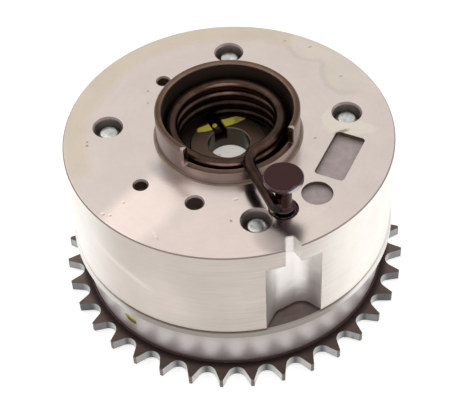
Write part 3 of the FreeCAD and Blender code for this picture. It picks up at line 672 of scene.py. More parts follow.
SHADED_RECESS_WALL = (0.15, 0.125, 0.09)
RECESS_OUTLINE = (0.13, 0.105, 0.07)
BOLT_HOLE = (0.42, 0.37, 0.35)
BLIND_HOLE = (0.22, 0.165, 0.14)
VENT_HOLE = (0.36, 0.28, 0.26)
PIN_HOLE = (0.20, 0.15, 0.10)
CUP_OPENING = (0.16, 0.12, 0.105)
WORN_ALUMINIUM = (0.9, 0.87, 0.83)


def housing_finish(colours):
    """Turned and washed aluminium with oil stains on its face."""
    skin = Finish("housing_aluminium", colours.side, 0.30)
    x, y, z, radius, normal_z = skin.measures()
    angle = skin.math("ARCTAN2", y, x)
    flat = skin.ease(normal_z, 0.93, 0.99)
    face = skin.both(flat, skin.above(z, FACE_TOP - 0.12 * MM))
    below_face = skin.below(z, FACE_TOP - 0.35 * MM)
    outer = skin.both(skin.above(radius, SIDE_R), below_face)
    inner = skin.both(skin.between(radius, POCKET_BACK_R, POCKET_MOUTH_R), below_face)
    lines = housing_side(skin, colours, x, z, angle, outer)
    cast = housing_pocket(skin, colours, z, angle, inner)
    rings = housing_face(skin, colours, face, radius, angle)
    housing_holes(skin, z, radius, normal_z, flat, below_face)

    # dried oil at the foot of the side, made lighter at the front as painted light against the shade
    # at the seam
    waved = skin.plus(z, skin.times(skin.clouds(3, 2.0), 0.9 * MM))
    foot = skin.fade(waved, SPROCKET_TOP + 0.6 * MM, SPROCKET_TOP + 1.2 * MM)
    skin.lay([outer, foot, skin.within(x, *FRONT)], FOOT_OIL_AND_LIGHT, 0.45, share=0.7)

    skin.lay([skin.wear(0.3, 2.5), outer], WORN_ALUMINIUM, 0.3, share=0.4)
    skin.raise_by(lines, 4e-6, outer)
    skin.raise_by(rings, 1.2e-6, face)
    skin.raise_by(cast, 7e-5, inner)
    return skin.done()


def housing_side(skin, colours, x, z, angle, outer):
    """The turned side. Returns its lathe lines."""
    # painted reflection: lighter at the side's left and right ends
    ends = skin.any_of([skin.fade(x, *mm(-43, -26)), skin.ease(x, *mm(12, 34))])
    skin.lay([outer, ends], colours.side_ends, 0.3)
    pink = skin.patch((-24, -37, 27), (13, 12, 9), edge=0.4, ragged=0.2, grain=9)
    skin.lay([outer, pink], PINK_SIDE, share=0.6)

    # a soft smear that falls from left to right
    start_angle, start_height, slope = -2.69, 39.5 * MM, 15 * MM
    level = skin.plus(z, skin.times(skin.minus(angle, start_angle), slope))
    off_line = skin.math("ABSOLUTE", skin.minus(level, start_height))
    skin.lay([outer, skin.fade(off_line, *mm(0.2, 1.6)),
              skin.within(angle, -2.72, -2.55, -2.2, -2.02)], SIDE_SMEAR, share=0.45)

    lines, streaks = skin.turning(0.42, 16), skin.turning(1.3, 9)
    near_pocket = skin.both(outer, skin.within(x, *mm(-22, 4, 18, 30)))
    skin.tint(lines, 0.93, 1.06, outer)
    skin.tint(lines, 0.86, 1.13, near_pocket)
    skin.tint(streaks, 0.92, 1.07, near_pocket)
    skin.tint(skin.clouds(11, 2.2, (0.31, 0.12, 0.05)), 0.94, 1.05, outer)
    return lines


def housing_pocket(skin, colours, z, angle, inner):
    """The cast wall inside the side pocket, with a painted pool of light and painted shade. Returns
    its unevenness.
    """
    cast = skin.clouds(3, 2.0)
    skin.lay(inner, colours.cast, 0.42)
    skin.tint(cast, 0.9, 1.07, inner)
    # painted light where the back wall is lit, and painted shade on the left wall
    skin.lay([inner, skin.within(angle, -1.365, -1.33, -1.15, -1.08),
              skin.within(z, *mm(22.5, 26, 40, 42))], LIT_CAST_PATCH, share=0.8)
    skin.lay([inner, skin.fade(angle, -1.40, -1.35)], SHADED_CAST)
    # darker olive tone along the bottom of the wall, with a wavy edge
    waved = skin.plus(z, skin.times(cast, 0.5 * MM))
    skin.lay([inner, skin.below(waved, SPROCKET_TOP + 0.9 * MM)], POCKET_BOTTOM_DARK, 0.35, share=0.85)
    return cast


def housing_face(skin, colours, face, radius, angle):
    """The face with its stains and marks. Returns the lathe rings."""
    skin.lay(face, colours.face, 0.23)
    skin.lay([face, skin.spot((2, -36), (26, 13), 0, 0.5, 0.1, 9)], WARM_FACE, share=0.9)

    # dried oil along the rim at the back left, and a lobed patch at the right
    waved = skin.plus(radius, skin.times(skin.clouds(7, 1.6), 3 * MM))
    back_left = skin.any_of([skin.ease(angle, 0.5, 0.9), skin.fade(angle, -2.9, -2.7)])
    skin.lay([face, skin.ease(waved, *mm(36.4, 41)), back_left], colours.oil, 0.3, share=0.7)
    fading = skin.both(face, skin.ease(angle, 0.12, 0.42))
    lobed = skin.any_of([skin.spot(at, size, 0, 0.09, 0.2, 5) for at, size in LOBES])
    inside = skin.any_of([skin.spot(at, (across - LOBE_BORDER, along - LOBE_BORDER), 0, 0.15, 0.2, 5)
                          for at, (across, along) in LOBES])
    skin.lay([fading, lobed, skin.fade(radius, *mm(37, 39))], LOBE_EDGE, 0.3, share=0.7)
    skin.lay([fading, inside], LOBE_OIL, 0.3, share=0.85)
    cream = skin.any_of([skin.spot(*spot, 0.2, 0.25, 3) for spot in CREAM_SPOTS])
    skin.lay([face, cream], CREAM_OIL, 0.33, share=0.8)

    # reflections: a beam at the left, light spread by the lathe marks, and dark neighbours
    beam = skin.spot((-23, -27), (6.8, 16), -40, 0.35, 0.1, 9)
    skin.lay([face, beam], FACE_BEAM, 0.28, share=0.9)
    skin.lay([face, skin.fade(radius, *mm(21.5, 25)),
              skin.within(angle, -2.25, -2.0, -1.55, -1.42)], FACE_BY_CUP, 0.5, share=0.9)
    by_bolt = skin.spot((8.6, -37.6), (4.2, 3.2), -30, 0.4, 0.15, 4)
    skin.lay([face, by_bolt], FACE_BY_BOLT, 0.5, share=0.85)
    mirrored = skin.spot((5.2, -22.6), (1.7, 5.4), 12, 0.25, 0.12, 3)
    skin.lay([face, mirrored], MIRRORED_LEG, 0.15, share=0.9)
    for shade in SHADES:
        skin.lay([face, skin.spot(*shade, 0.6, 0.2, 3)], FACE_SHADE, share=0.7)
    rings = skin.turning(0.5, 22)
    skin.tint(rings, 0.975, 1.025, face)
    skin.tint(skin.clouds(7, 2.0, (0.2, 0.0, 0.0)), 0.955, 1.04, face)

    # dirt, small raised burrs with a painted highlight on one side and a painted shadow on the
    # other, and scratches
    for at, size in DIRT_SPOTS:
        skin.lay([face, skin.spot(at, size, 20, 0.5, 0.5, 0.5)], FACE_DIRT, 0.5, share=0.7)
    skin.lay([face, skin.specks(3.4, 0.14, 0.08)], FACE_SPECKS, 0.5, share=0.6)
    for (across, along), size, turn in BURRS:
        for shift_x, shift_y, tone in ((*BURR_SHADOW, BURR_PAINTED_SHADOW), (0.0, 0.0, BURR_PAINTED_HIGHLIGHT)):
            burr = skin.spot((across + shift_x, along + shift_y), size, turn, 0.4, 0.45, 1)
            skin.lay([face, burr], tone, share=0.6)
    for turn, share in ((0.5, 0.05), (2.0, 0.04), (2.9, 0.04)):
        skin.lay([face, skin.scratches(turn, 7, 0.5, share)], FACE_SCRATCH, 0.36, share=0.3)
    return rings


def housing_holes(skin, z, radius, normal_z, flat, below_face):
    """Rims, walls and floors of the holes in the face."""
    rims = skin.both(skin.ease(normal_z, 0.25, 0.45), skin.without(skin.ease(normal_z, 0.9, 0.97)),
                     skin.above(z, FACE_TOP - 7.3 * MM))
    skin.lay(rims, HOLE_RIM, 0.33)
    blind = skin.any_of([skin.column(*hole, 2.3) for hole in BLIND_HOLES])
    skin.lay([rims, blind], BLIND_RIM, 0.4)
    recess = skin.both(skin.between(z, FACE_TOP - 2 * MM, FACE_TOP - 0.12 * MM),
                       skin.below(radius, RECESS_R))
    floor_part = skin.both(recess, flat)
    skin.lay(floor_part, RECESS_FLOOR, 0.62)
    skin.tint(skin.clouds(2.2, 2.2, (0.1, 0.3, 0.0)), 0.88, 1.12, floor_part)
    # painted shade on the recess walls; the dark outline on the floor beside them is partly the
    # olive edge and partly painted shade
    skin.lay([recess, skin.without(skin.ease(normal_z, 0.2, 0.5))], SHADED_RECESS_WALL, 0.4)
    outline = skin.effect("Edge wear", "Mask", Reach=0.45 * MM, Grain=2.5 * MM)
    skin.lay([floor_part, outline], RECESS_OUTLINE, 0.5, share=0.7)
    holes = skin.any_of([skin.column(BOLT_CIRCLE, angle, 3.7) for angle in BOLT_ANGLES])
    skin.lay([holes, skin.below(z, FACE_TOP - 0.52 * MM)], BOLT_HOLE, 0.45)
    # painted shade: the blind holes are made dark inside
    skin.lay(skin.any_of([skin.column(*hole, 1.8) for hole in BLIND_HOLES]), BLIND_HOLE, 0.5,
             share=0.95)
    skin.lay(skin.column(*LOCK_VENT, 2.2), VENT_HOLE, 0.5, share=0.95)
    skin.lay([skin.column(ANCHOR_CIRCLE, ANCHOR_ANGLE, 3.9), below_face], PIN_HOLE, 0.45)
    skin.lay([skin.below(radius, OPENING_R), below_face], CUP_OPENING, 0.45)


# Finish of the sprocket: where its surfaces lie, in metres

DISC_TOP = 3.0 * MM
STEP_BACK, STEP_TOP = mm(2.95, 3.36)
TOOTH_ROOT_R, TOOTH_END_R = mm(42.9, 47.5)
BAND_R = 41.0 * MM
RIM_BACK, RIM_R = mm(16.65, 43.95)
LEDGE_R = 43.0 * MM

# The painted dimple, in millimetres and degrees

DIMPLE_R, DIMPLE_ANGLE, DIMPLE_Z = 42.35, 227.65, 10.5
DIMPLE_HALF = 2.1
DIMPLE_INSET = 0.07
BAND_SLOPE = 0.133

# Tones laid on the sprocket

DISC_SHADE = (0.028, 0.019, 0.020)
SHADED_FLANK = (0.11, 0.12, 0.125)
TOOTH_END = (0.17, 0.145, 0.135)
TOOTH_TOP = (0.135, 0.098, 0.086)
BURNT_FLANK = (0.20, 0.15, 0.12)
HIGH_BAND_REFLECTION = (0.64, 0.575, 0.53)
LOW_BAND_REFLECTION = (0.24, 0.17, 0.17)
RIM = (0.72, 0.69, 0.64)
RIM_FRONT_SHADE = (0.36, 0.33, 0.28)
RIM_ENDS_REFLECTION = (0.97, 0.94, 0.91)
SEAM = (0.50, 0.43, 0.39)
STEP = (0.05, 0.028, 0.028)
STEP_RED = (0.085, 0.04, 0.037)
POCKET_LEDGE = (0.15, 0.115, 0.11)
DIMPLE_PAINT = (0.85, 0.78, 0.12)
DIMPLE_DARK = (0.11, 0.055, 0.02)
WORN_DISC = (0.25, 0.21, 0.20)
WORN_STEP = (0.24, 0.16, 0.15)


def sprocket_finish(colours):
    """Heat-treated steel with ground tooth flanks and a ground band."""
    skin = Finish("sprocket_steel", colours.oxide, 0.48)
    x, _, z, radius, normal_z = skin.measures()
    upward = skin.ease(skin.math("ABSOLUTE", normal_z), 0.5, 0.85)
    disc = skin.below(z, DISC_TOP)
    clouds, rings = skin.clouds(5, 2.4), skin.turning(0.5, 25)
    skin.tint(clouds, 0.78, 1.25)
    skin.tint(rings, 0.92, 1.1)
    skin.lay([disc, skin.fade(radius, *mm(43.2, 45.6))], DISC_SHADE, 0.45, share=0.85)
    sprocket_teeth(skin, colours, x, radius, disc, upward, clouds)
    sprocket_band(skin, colours, x, z, radius, rings)
    step = skin.both(skin.between(z, STEP_BACK, STEP_TOP), skin.above(radius, BAND_R))
    skin.lay(step, STEP, 0.4)
    skin.lay([step, upward], STEP_RED, 0.4)

    # top of the disc inside the side pocket
    ledge = skin.both(skin.ease(normal_z, 0.6, 0.9), skin.above(z, SPROCKET_TOP - 0.2 * MM),
                      skin.below(radius, LEDGE_R))
    skin.lay(ledge, POCKET_LEDGE, 0.42)
    skin.tint(clouds, 0.8, 1.2, ledge)

    painted_dimple(skin, z, radius)
    wear = skin.wear(0.2, 1.2)
    skin.lay([wear, disc], WORN_DISC, 0.36, share=0.3)
    skin.lay([wear, step], WORN_STEP, 0.36, share=0.35)
    skin.raise_by(rings, 1.5e-6)
    skin.raise_by(clouds, 1.0e-5, disc)
    return skin.done()


def sprocket_teeth(skin, colours, x, radius, disc, upward, clouds):
    """The teeth: their flanks get painted shade where they face the front, and painted reflection
    where they turn sideways.
    """
    flank = skin.both(disc, skin.without(upward), skin.above(radius, TOOTH_ROOT_R))
    sideways = skin.math("ABSOLUTE", skin.split(skin.facing())[0])
    turned = skin.add("ShaderNodeMapRange", {0: sideways, 1: 0.05, 2: 0.97}).outputs[0]
    skin.lay(flank, skin.mix(turned, SHADED_FLANK, colours.bright_steel), 0.3)
    skin.lay([flank, skin.above(radius, TOOTH_END_R)], TOOTH_END, 0.42, share=0.9)
    tops = skin.both(disc, upward, skin.ease(radius, *mm(42.5, 44.6)))
    skin.lay(tops, TOOTH_TOP, 0.42, share=0.9)
    skin.tint(clouds, 0.85, 1.15, tops)
    skin.tint(skin.clouds(1.6, 2.6), 0.88, 1.08, flank)
    to_right = skin.ease(x, 8 * MM, 24 * MM, 0.15, 1.0)
    skin.lay([flank, skin.specks(2.2, 0.4, 0.34), to_right], BURNT_FLANK, 0.5, share=0.8)


def sprocket_band(skin, colours, x, z, radius, rings):
    """The ground band, and the rim with its seam against the housing."""
    band = skin.both(skin.between(z, STEP_TOP, SPROCKET_TOP + MM), skin.above(radius, BAND_R))
    skin.lay(band, colours.band, 0.42, metallic=0.6)
    skin.tint(skin.clouds(9, 1.8), 0.93, 1.06, band)
    front = skin.within(x, *FRONT)
    # painted reflection: the band's top at the front is lighter and less metallic where it mirrors
    # the floor, and its foot is dark where it mirrors the disc
    skin.lay([band, skin.ease(z, *mm(12, 15)), front], HIGH_BAND_REFLECTION, 0.45, share=0.85, metallic=0.35)
    skin.lay([band, skin.fade(z, *mm(3.3, 4.6))], LOW_BAND_REFLECTION, 0.36, share=0.6)
    rim = skin.both(band, skin.above(z, RIM_BACK))
    skin.lay(rim, RIM, 0.34)
    # painted shade on the rim's front under the housing's edge, and painted reflection at its left
    # and right ends
    skin.lay([rim, front], RIM_FRONT_SHADE, 0.4, share=0.95)
    ends = skin.any_of([skin.fade(x, *mm(-42, -31)), skin.ease(x, *mm(22, 33))])
    skin.lay([rim, ends], RIM_ENDS_REFLECTION, 0.34)
    skin.tint(rings, 0.95, 1.05, rim)
    # painted light: the seam against the housing at the front is made lighter against its shade
    skin.lay([skin.above(z, SPROCKET_TOP - 0.33 * MM), band, front, skin.below(radius, RIM_R)],
             SEAM, 0.4, share=0.85)


def painted_dimple(skin, z, radius):
    """The dimple in the band with yellow paint, which is dark at the low end."""
    middle = DIMPLE_Z * MM
    mark = skin.patch(polar(DIMPLE_R, DIMPLE_ANGLE, DIMPLE_Z), [DIMPLE_HALF] * 3,
                      edge=0.03, ragged=0.0)
    band_r = skin.times(skin.minus(z, middle), BAND_SLOPE)
    inset = skin.below(radius, skin.plus((DIMPLE_R - DIMPLE_INSET) * MM, band_r))
    dimple = skin.both(mark, inset)
    skin.lay(dimple, DIMPLE_PAINT, 0.35, metallic=0.0)
    skin.lay([dimple, skin.fade(z, middle - 1.4 * MM, middle - 0.5 * MM)], DIMPLE_DARK, 0.35,
             share=0.85)


# Finish of the spring cup: where its surfaces lie, in metres

CUP_OUTSIDE_R = 18.4 * MM
CUP_BORE_R = 17.2 * MM
BOSS_R, BOLT_BORE_R = mm(10.4, 5.6)
CUP_CHIPS = [(-11.4, -14.3, 55.9), (15.8, -8.7, 55.9), (-11.4, -14.3, 51.2)]
STRIPE_PLACE, STRIPE_HALF, STRIPE_TURN = (-1.6, 7.25, 43.55), (7.6, 1.4, 1.3), 19

# Tones laid on the spring cup

CUP_LEFT = (0.145, 0.118, 0.108)
CUP_FRONT = (0.37, 0.29, 0.27)
CUP_MIDDLE = (0.275, 0.22, 0.205)
CUP_BY_RIM = (0.12, 0.085, 0.068)
CUP_FOOT = (0.46, 0.36, 0.30)
CUP_INSIDE = (0.19, 0.135, 0.105)
BOSS_TOP = (0.085, 0.055, 0.039)
BORE_WALL = (0.078, 0.068, 0.055)
THIN_PAINT = (0.22, 0.17, 0.06)
CHIPPED = (0.50, 0.38, 0.35)
WORN_CUP = (0.36, 0.27, 0.25)


def cup_finish(colours):
    """Heat-treated steel cup, worn on its outside, with paint on its boss."""
    skin = Finish("cup_steel", colours.cup, 0.36)
    x, y, z, radius, normal_z = skin.measures()
    clouds = skin.clouds(5, 2.2)
    skin.tint(clouds, 0.8, 1.25)
    skin.tint(skin.ease(y, *mm(-2, 15)), 0.72, 1.08)

    outside = skin.both(skin.above(radius, CUP_OUTSIDE_R), skin.below(z, CUP_RIM - 0.1 * MM),
                        skin.without(skin.ease(normal_z, 0.4, 0.8)))
    lines = skin.turning(0.35, 9)
    worn = skin.mix(skin.ease(x, *mm(-17.5, -8)), CUP_LEFT, CUP_FRONT)
    worn = skin.mix(skin.within(x, *mm(-10, -5, 4, 11)), worn, CUP_MIDDLE)
    skin.lay(outside, worn, 0.32)
    skin.tint(lines, 0.75, 1.25, outside)
    by_rim = skin.ease(z, CUP_RIM - 1.6 * MM, CUP_RIM - 0.4 * MM)
    skin.lay([outside, by_rim], CUP_BY_RIM, 0.36, share=0.6)
    # a brown line at the cup's foot, made lighter and less metallic as painted light against the
    # dark gap that it mirrors
    at_foot = skin.fade(z, FACE_TOP + 0.5 * MM, FACE_TOP + 1.0 * MM)
    skin.lay([outside, at_foot], CUP_FOOT, 0.5, share=0.8, metallic=0.3)
    # painted highlight along the inner edge of the rim's top, and painted shade towards its outer
    # edge
    on_rim = skin.both(skin.above(z, FACE_TOP + 2.7 * MM), skin.ease(normal_z, 0.9, 0.97))
    skin.tint(skin.ease(radius, *mm(17.4, 18.2)), 1.15, 0.83, on_rim)

    # painted light: the inside of the cup is made lighter against its own shade
    skin.lay(skin.between(radius, BOSS_R, CUP_BORE_R), CUP_INSIDE, 0.42)
    skin.lay([skin.below(radius, BOSS_R), skin.ease(normal_z, 0.7, 0.95)], BOSS_TOP, 0.34)
    upright = skin.without(skin.ease(normal_z, 0.6, 0.9))
    skin.lay([skin.below(radius, BOLT_BORE_R), upright], BORE_WALL, 0.33)

    stripe = skin.both(skin.patch(STRIPE_PLACE, STRIPE_HALF, STRIPE_TURN, 0.1, 0.15),
                       skin.above(z, 42.9 * MM), skin.ease(x, *mm(-8.5, -8.1)))
    skin.lay(stripe, colours.paint, 0.4, metallic=0.0)
    gaps = skin.ease(skin.clouds(1.6, 2.6), 0.3, 0.6)
    skin.lay([stripe, skin.ease(x, *mm(1.2, 2.2)), gaps], THIN_PAINT, 0.4, share=0.7)
    chips = skin.any_of([skin.patch(at, (0.9, 0.7, 1.3), 0, 0.15, 0.5, 1) for at in CUP_CHIPS])
    skin.lay(chips, CHIPPED, 0.3, share=0.8)

    skin.lay([skin.wear(0.3, 1.6), skin.above(z, 43 * MM)], WORN_CUP, 0.3, share=0.6)
    skin.raise_by(lines, 1.0e-5, outside)
    skin.raise_by(clouds, 1.5e-5)
    return skin.done()


# Finishes of the small pieces

BOLT_STEEL, BOLT_EDGE = (0.56, 0.57, 0.535), (0.76, 0.74, 0.68)
LOCK_STEEL, LOCK_EDGE = (0.48, 0.465, 0.45), (0.70, 0.68, 0.66)
LEAF_STEEL, LEAF_EDGE = (0.50, 0.485, 0.46), (0.7, 0.68, 0.66)
LOCK_WIRE = (0.36, 0.34, 0.33)
PIN_EDGE = (0.50, 0.47, 0.52)
# tones on the pin's head, and a painted highlight on the lower rim of its head
PIN_SPOTS = [((12.6, -28.0, 58.65), (4.3, 4.3, 0.3), (0.053, 0.024, 0.024)),
             ((12.6, -28.0, 58.65), (1.4, 1.4, 0.3), (0.046, 0.025, 0.026)),
             ((15.9, -32.0, 57.95), (2.6, 1.7, 0.62), (0.50, 0.53, 0.56))]
# painted shade on the end of the outer leg, under the pin's head
OUTER_LEG_END_SHADE = ((10.3, -33.0, 52.6), 1.5, (0.03, 0.026, 0.028), 1.0)
OUTER_LEG_PAINT = ((9.2, -33.1, 52.1), 0.6, (0.45, 0.37, 0.05), 0.0)
INNER_LEG_PAINT = ((-3.6, 7.3, 42.9), 0.7)
WIRE_DRAWN = (0.12, 0.08, 0.07)
WIRE_SPECKS = (0.035, 0.024, 0.02)
STEEL_SPECKS = (0.05, 0.035, 0.03)
ROTOR_SPECKS = (0.2, 0.16, 0.13)
WORN_ROTOR = (0.86, 0.84, 0.81)
SEAL_SCRATCH = (0.09, 0.085, 0.08)


def wire_finish(name, base, spots=()):
    """Oil-tempered wire, a little brighter where it was drawn and rubbed, with painted light and
    shade by direction and height.
    """
    skin = Finish(name, base, 0.3)
    clouds = skin.clouds(3.5, 2.4)
    # painted light: lighter where the wire faces the front and up
    toward = skin.vector("DOT_PRODUCT", skin.facing(), Vector((0.0, -0.75, 0.66)))
    skin.tint(skin.ease(toward, 0.3, 0.92), 0.75, 1.2)
    skin.tint(clouds, 0.6, 1.4)
    _, y, z = skin.split(skin.place())
    # a painted highlight along the top coil, and painted shade on the lower coils
    high = skin.ease(z, *mm(46, 50.5))
    skin.tint(skin.both(high, skin.ease(toward, 0.955, 0.996)), 1.0, 4.2)
    skin.tint(high, 0.55, 1.0)
    # painted shade towards the front, where the outer leg runs
    skin.tint(skin.ease(y, *mm(-20, -14)), 0.6, 1.0)
    skin.lay(skin.scratches(0.7, 4, 0.4, 0.25), WIRE_DRAWN, 0.3, share=0.25)
    skin.lay(skin.specks(1.4, 0.25, 0.2), WIRE_SPECKS, 0.5, share=0.7)
    for at, half, tone, metallic in spots:
        skin.lay(skin.patch(at, [half] * 3, 0, 0.15, 0.3, 1), tone, 0.35, metallic=metallic)
    skin.raise_by(skin.clouds(0.8, 1.5), 6e-6)
    return skin.done()


def steel_finish(name, base, rough, edge_colour, wear_share=0.6, blotchy=False, spots=()):
    """A small turned steel piece: cloudy skin, lathe lines, worn edges and any given spots."""
    skin = Finish(name, base, rough)
    clouds = skin.clouds(3, 2.2)
    skin.tint(clouds, 0.78, 1.25)
    turned = skin.turning(0.15 if blotchy else 0.25, 6)
    skin.tint(turned, 0.88, 1.12)
    skin.lay(skin.specks(1.5, 0.2, 0.18), STEEL_SPECKS, 0.5, share=0.6)
    skin.lay(skin.wear(0.16, 1.0), edge_colour, rough * 0.85, share=wear_share)
    if blotchy:
        skin.tint(skin.clouds(1.1, 2.8), 0.62, 1.12)
    for at, size, tone in spots:
        skin.lay(skin.patch(at, size, 0, 0.3, 0.2, 1), tone, 0.3)
    skin.raise_by(turned, 2e-6)
    skin.raise_by(clouds, 6e-6)
    return skin.done()


def rotor_finish(colours):
    """Machined rotor: clean where it runs. Its near-white colour is partly painted light, which
    makes the well behind the boss bright.
    """
    skin = Finish("rotor_aluminium", colours.rotor, 0.3)
    skin.tint(skin.clouds(7, 2.0), 0.9, 1.07)
    lines = skin.turning(0.4, 14)
    skin.tint(lines, 0.9, 1.1)
    skin.lay(skin.specks(3, 0.15, 0.12), ROTOR_SPECKS, 0.5, share=0.6)
    skin.lay(skin.wear(0.25, 2), WORN_ROTOR, 0.27, share=0.5)
    skin.raise_by(lines, 4e-6)
    return skin.done()


def seal_finish(colours):
    """Dark wear-resistant plastic with a fine moulded grain."""
    skin = Finish("seal_plastic", colours.plastic, 0.48, metallic=0.0)
    grain = skin.clouds(0.5, 2.0)
    skin.tint(grain, 0.8, 1.3)
    skin.lay(skin.scratches(1.57, 5, 0.2, 0.2), SEAL_SCRATCH, 0.4, share=0.6)
    skin.raise_by(grain, 5e-6)
    return skin.done()


# Geometry Nodes

PLACE_INPUTS = [("Circle radius", FLOAT, BOLT_CIRCLE * MM)] + [
    (f"Angle {i}", FLOAT, 0.0) for i in range(1, len(BOLT_ANGLES) + 1)]


def bolt_places_tree():
    """Four points on the bolt circle, at their own angles."""
    sketch, given = new_tree(
        "Bolt places", "GeometryNodeTree", PLACE_INPUTS, [("Points", GEOMETRY)])
    pick = sketch.add("GeometryNodeIndexSwitch", data_type="FLOAT")
    while len(pick.index_switch_items) < len(BOLT_ANGLES):
        pick.index_switch_items.new()
    join(sketch.tree, pick.inputs["Index"], sketch.add("GeometryNodeInputIndex").outputs[0])
    for i in range(1, len(BOLT_ANGLES) + 1):
        join(sketch.tree, pick.inputs[i], given[f"Angle {i}"])
    points = sketch.add("GeometryNodePoints", {
        "Count": len(BOLT_ANGLES), "Position": sketch.round_axis(given["Circle radius"],
                                                                 pick.outputs[0])})
    return sketch.close(Points=points.outputs[0])


def painted(sketch, shape, material):
    """The shape as plain geometry, with its material."""
    plain = sketch.add("GeometryNodeRealizeInstances", {0: shape})
    return sketch.add("GeometryNodeSetMaterial", {
        "Geometry": plain.outputs[0], "Material": material}).outputs[0]


def put_on_places(sketch, given, places, shape):
    """Puts a shape on each of the bolt places, with its own turn."""
    points = sketch.add("GeometryNodeGroup", {name: given[name] for name, *_ in PLACE_INPUTS},
                        node_tree=places)
    turn = sketch.add("FunctionNodeRandomValue", {3: math.tau, "Seed": given["Seed"]},
                      data_type="FLOAT")
    return sketch.add("GeometryNodeInstanceOnPoints", {
        "Points": points.outputs[0], "Instance": shape,
        "Rotation": sketch.combine(0.0, 0.0, turn.outputs[1])}).outputs[0]


def spun_grid(sketch, given):
    """A grid for a spun outline, with each point's angle and its radius and height.

    The outline is a row of points: x is the radius and z the height.
    """
    grid = sketch.add("GeometryNodeMeshGrid", {
        "Size X": 1.0, "Size Y": 1.0, "Vertices X": given["Columns"],
        "Vertices Y": given["Rows"]})
    across, along, _ = sketch.split(sketch.add("GeometryNodeInputPosition").outputs[0])
    angle = sketch.times(sketch.plus(across, 0.5), math.tau)
    row = sketch.math("ROUND", sketch.times(sketch.plus(along, 0.5),
                                            sketch.minus(given["Rows"], 1.0)))
    sample = sketch.add("GeometryNodeSampleIndex", {
        "Geometry": given["Outline"], "Index": row,
        "Value": sketch.add("GeometryNodeInputPosition").outputs[0]}, data_type="FLOAT_VECTOR")
    radius, _, height = sketch.split(sample.outputs[0])
    return grid, angle, radius, height


def spun_mesh(sketch, grid, angle, radius, height):
    """Bends the grid round the axis and closes its seams."""
    body = sketch.add("GeometryNodeSetPosition", {
        "Geometry": grid.outputs[0], "Position": sketch.round_axis(radius, angle, height)})
    closed = sketch.add("GeometryNodeMergeByDistance", {
        "Geometry": body.outputs[0], "Distance": 1e-6})
    return closed.outputs[0]


def bolts_tree(places):
    """Spins a half outline, cuts its hexagon and its thread, and puts it on the bolt places."""
    sketch, given = new_tree(
        "Threaded bolts", "GeometryNodeTree",
        [("Outline", GEOMETRY, None), ("Rows", INT, 10), ("Columns", INT, 49)] + PLACE_INPUTS + [
            ("Flats", FLOAT, 10 * MM), ("Head end", FLOAT, 0.0), ("Pitch", FLOAT, MM),
            ("Thread depth", FLOAT, 0.5 * MM), ("Thread start", FLOAT, 0.0),
            ("Thread end", FLOAT, 0.0), ("Seed", INT, 4), ("Finish", MATERIAL, None)],
        [("Bolts", GEOMETRY)])
    grid, angle, radius, height = spun_grid(sketch, given)
    sixth = math.tau / 6
    in_sector = sketch.minus(sketch.math("FLOORED_MODULO", angle, sixth), sixth / 2)
    flat = sketch.over(sketch.times(given["Flats"], 0.5), sketch.math("COSINE", in_sector))
    past_head = sketch.minus(1.0, sketch.below(height, given["Head end"]))
    radius = sketch.math("MINIMUM", radius, sketch.plus(flat, past_head))

    turns = sketch.minus(sketch.over(height, given["Pitch"]), sketch.over(angle, math.tau))
    groove = sketch.math("PINGPONG", sketch.times(turns, 2.0), 1.0)
    start, last = given["Thread start"], given["Thread end"]
    threaded = sketch.times(
        sketch.ease(height, start, sketch.plus(start, given["Pitch"])),
        sketch.fade(height, sketch.minus(last, given["Thread depth"]), last))
    cut = sketch.times(sketch.times(groove, given["Thread depth"]), threaded)
    closed = spun_mesh(sketch, grid, angle, sketch.minus(radius, cut), height)
    bolts = put_on_places(sketch, given, places, closed)
    return sketch.close(Bolts=painted(sketch, bolts, given["Finish"]))


def ring_tree():
    """Spins a closed outline into a ring."""
    sketch, given = new_tree(
        "Spun ring", "GeometryNodeTree",
        [("Outline", GEOMETRY, None), ("Rows", INT, 9), ("Columns", INT, 145),
         ("Finish", MATERIAL, None)], [("Ring", GEOMETRY)])
    ring = spun_mesh(sketch, *spun_grid(sketch, given))
    return sketch.close(Ring=painted(sketch, ring, given["Finish"]))


def wire_tree():
    """Sweeps a round wire along a path of points, with slightly blunt ends."""
    sketch, given = new_tree(
        "Round wire", "GeometryNodeTree",
        [("Path", GEOMETRY, None), ("Wire radius", FLOAT, 1.5 * MM), ("Sides", INT, 24),
         ("Blunt", FLOAT, 0.3 * MM), ("Finish", MATERIAL, None)],
        [("Wire", GEOMETRY)])
    path = sketch.add("GeometryNodeMeshToCurve", {0: given["Path"]})
    run = sketch.add("GeometryNodeSplineParameter").outputs["Length"]
    whole = sketch.add("GeometryNodeSplineLength").outputs["Length"]
    to_end = sketch.math("MINIMUM", run, sketch.minus(whole, run))
    narrow = sketch.minus(1.0, sketch.over(given["Blunt"], given["Wire radius"]))
    profile = sketch.add("GeometryNodeCurvePrimitiveCircle", {
        "Resolution": given["Sides"], "Radius": given["Wire radius"]})
    wire = sketch.add("GeometryNodeCurveToMesh", {
        "Curve": path.outputs[0], "Profile Curve": profile.outputs[0],
        "Scale": sketch.ease(to_end, 0.0, given["Blunt"], narrow, 1.0), "Fill Caps": True})
    return sketch.close(Wire=painted(sketch, wire.outputs[0], given["Finish"]))


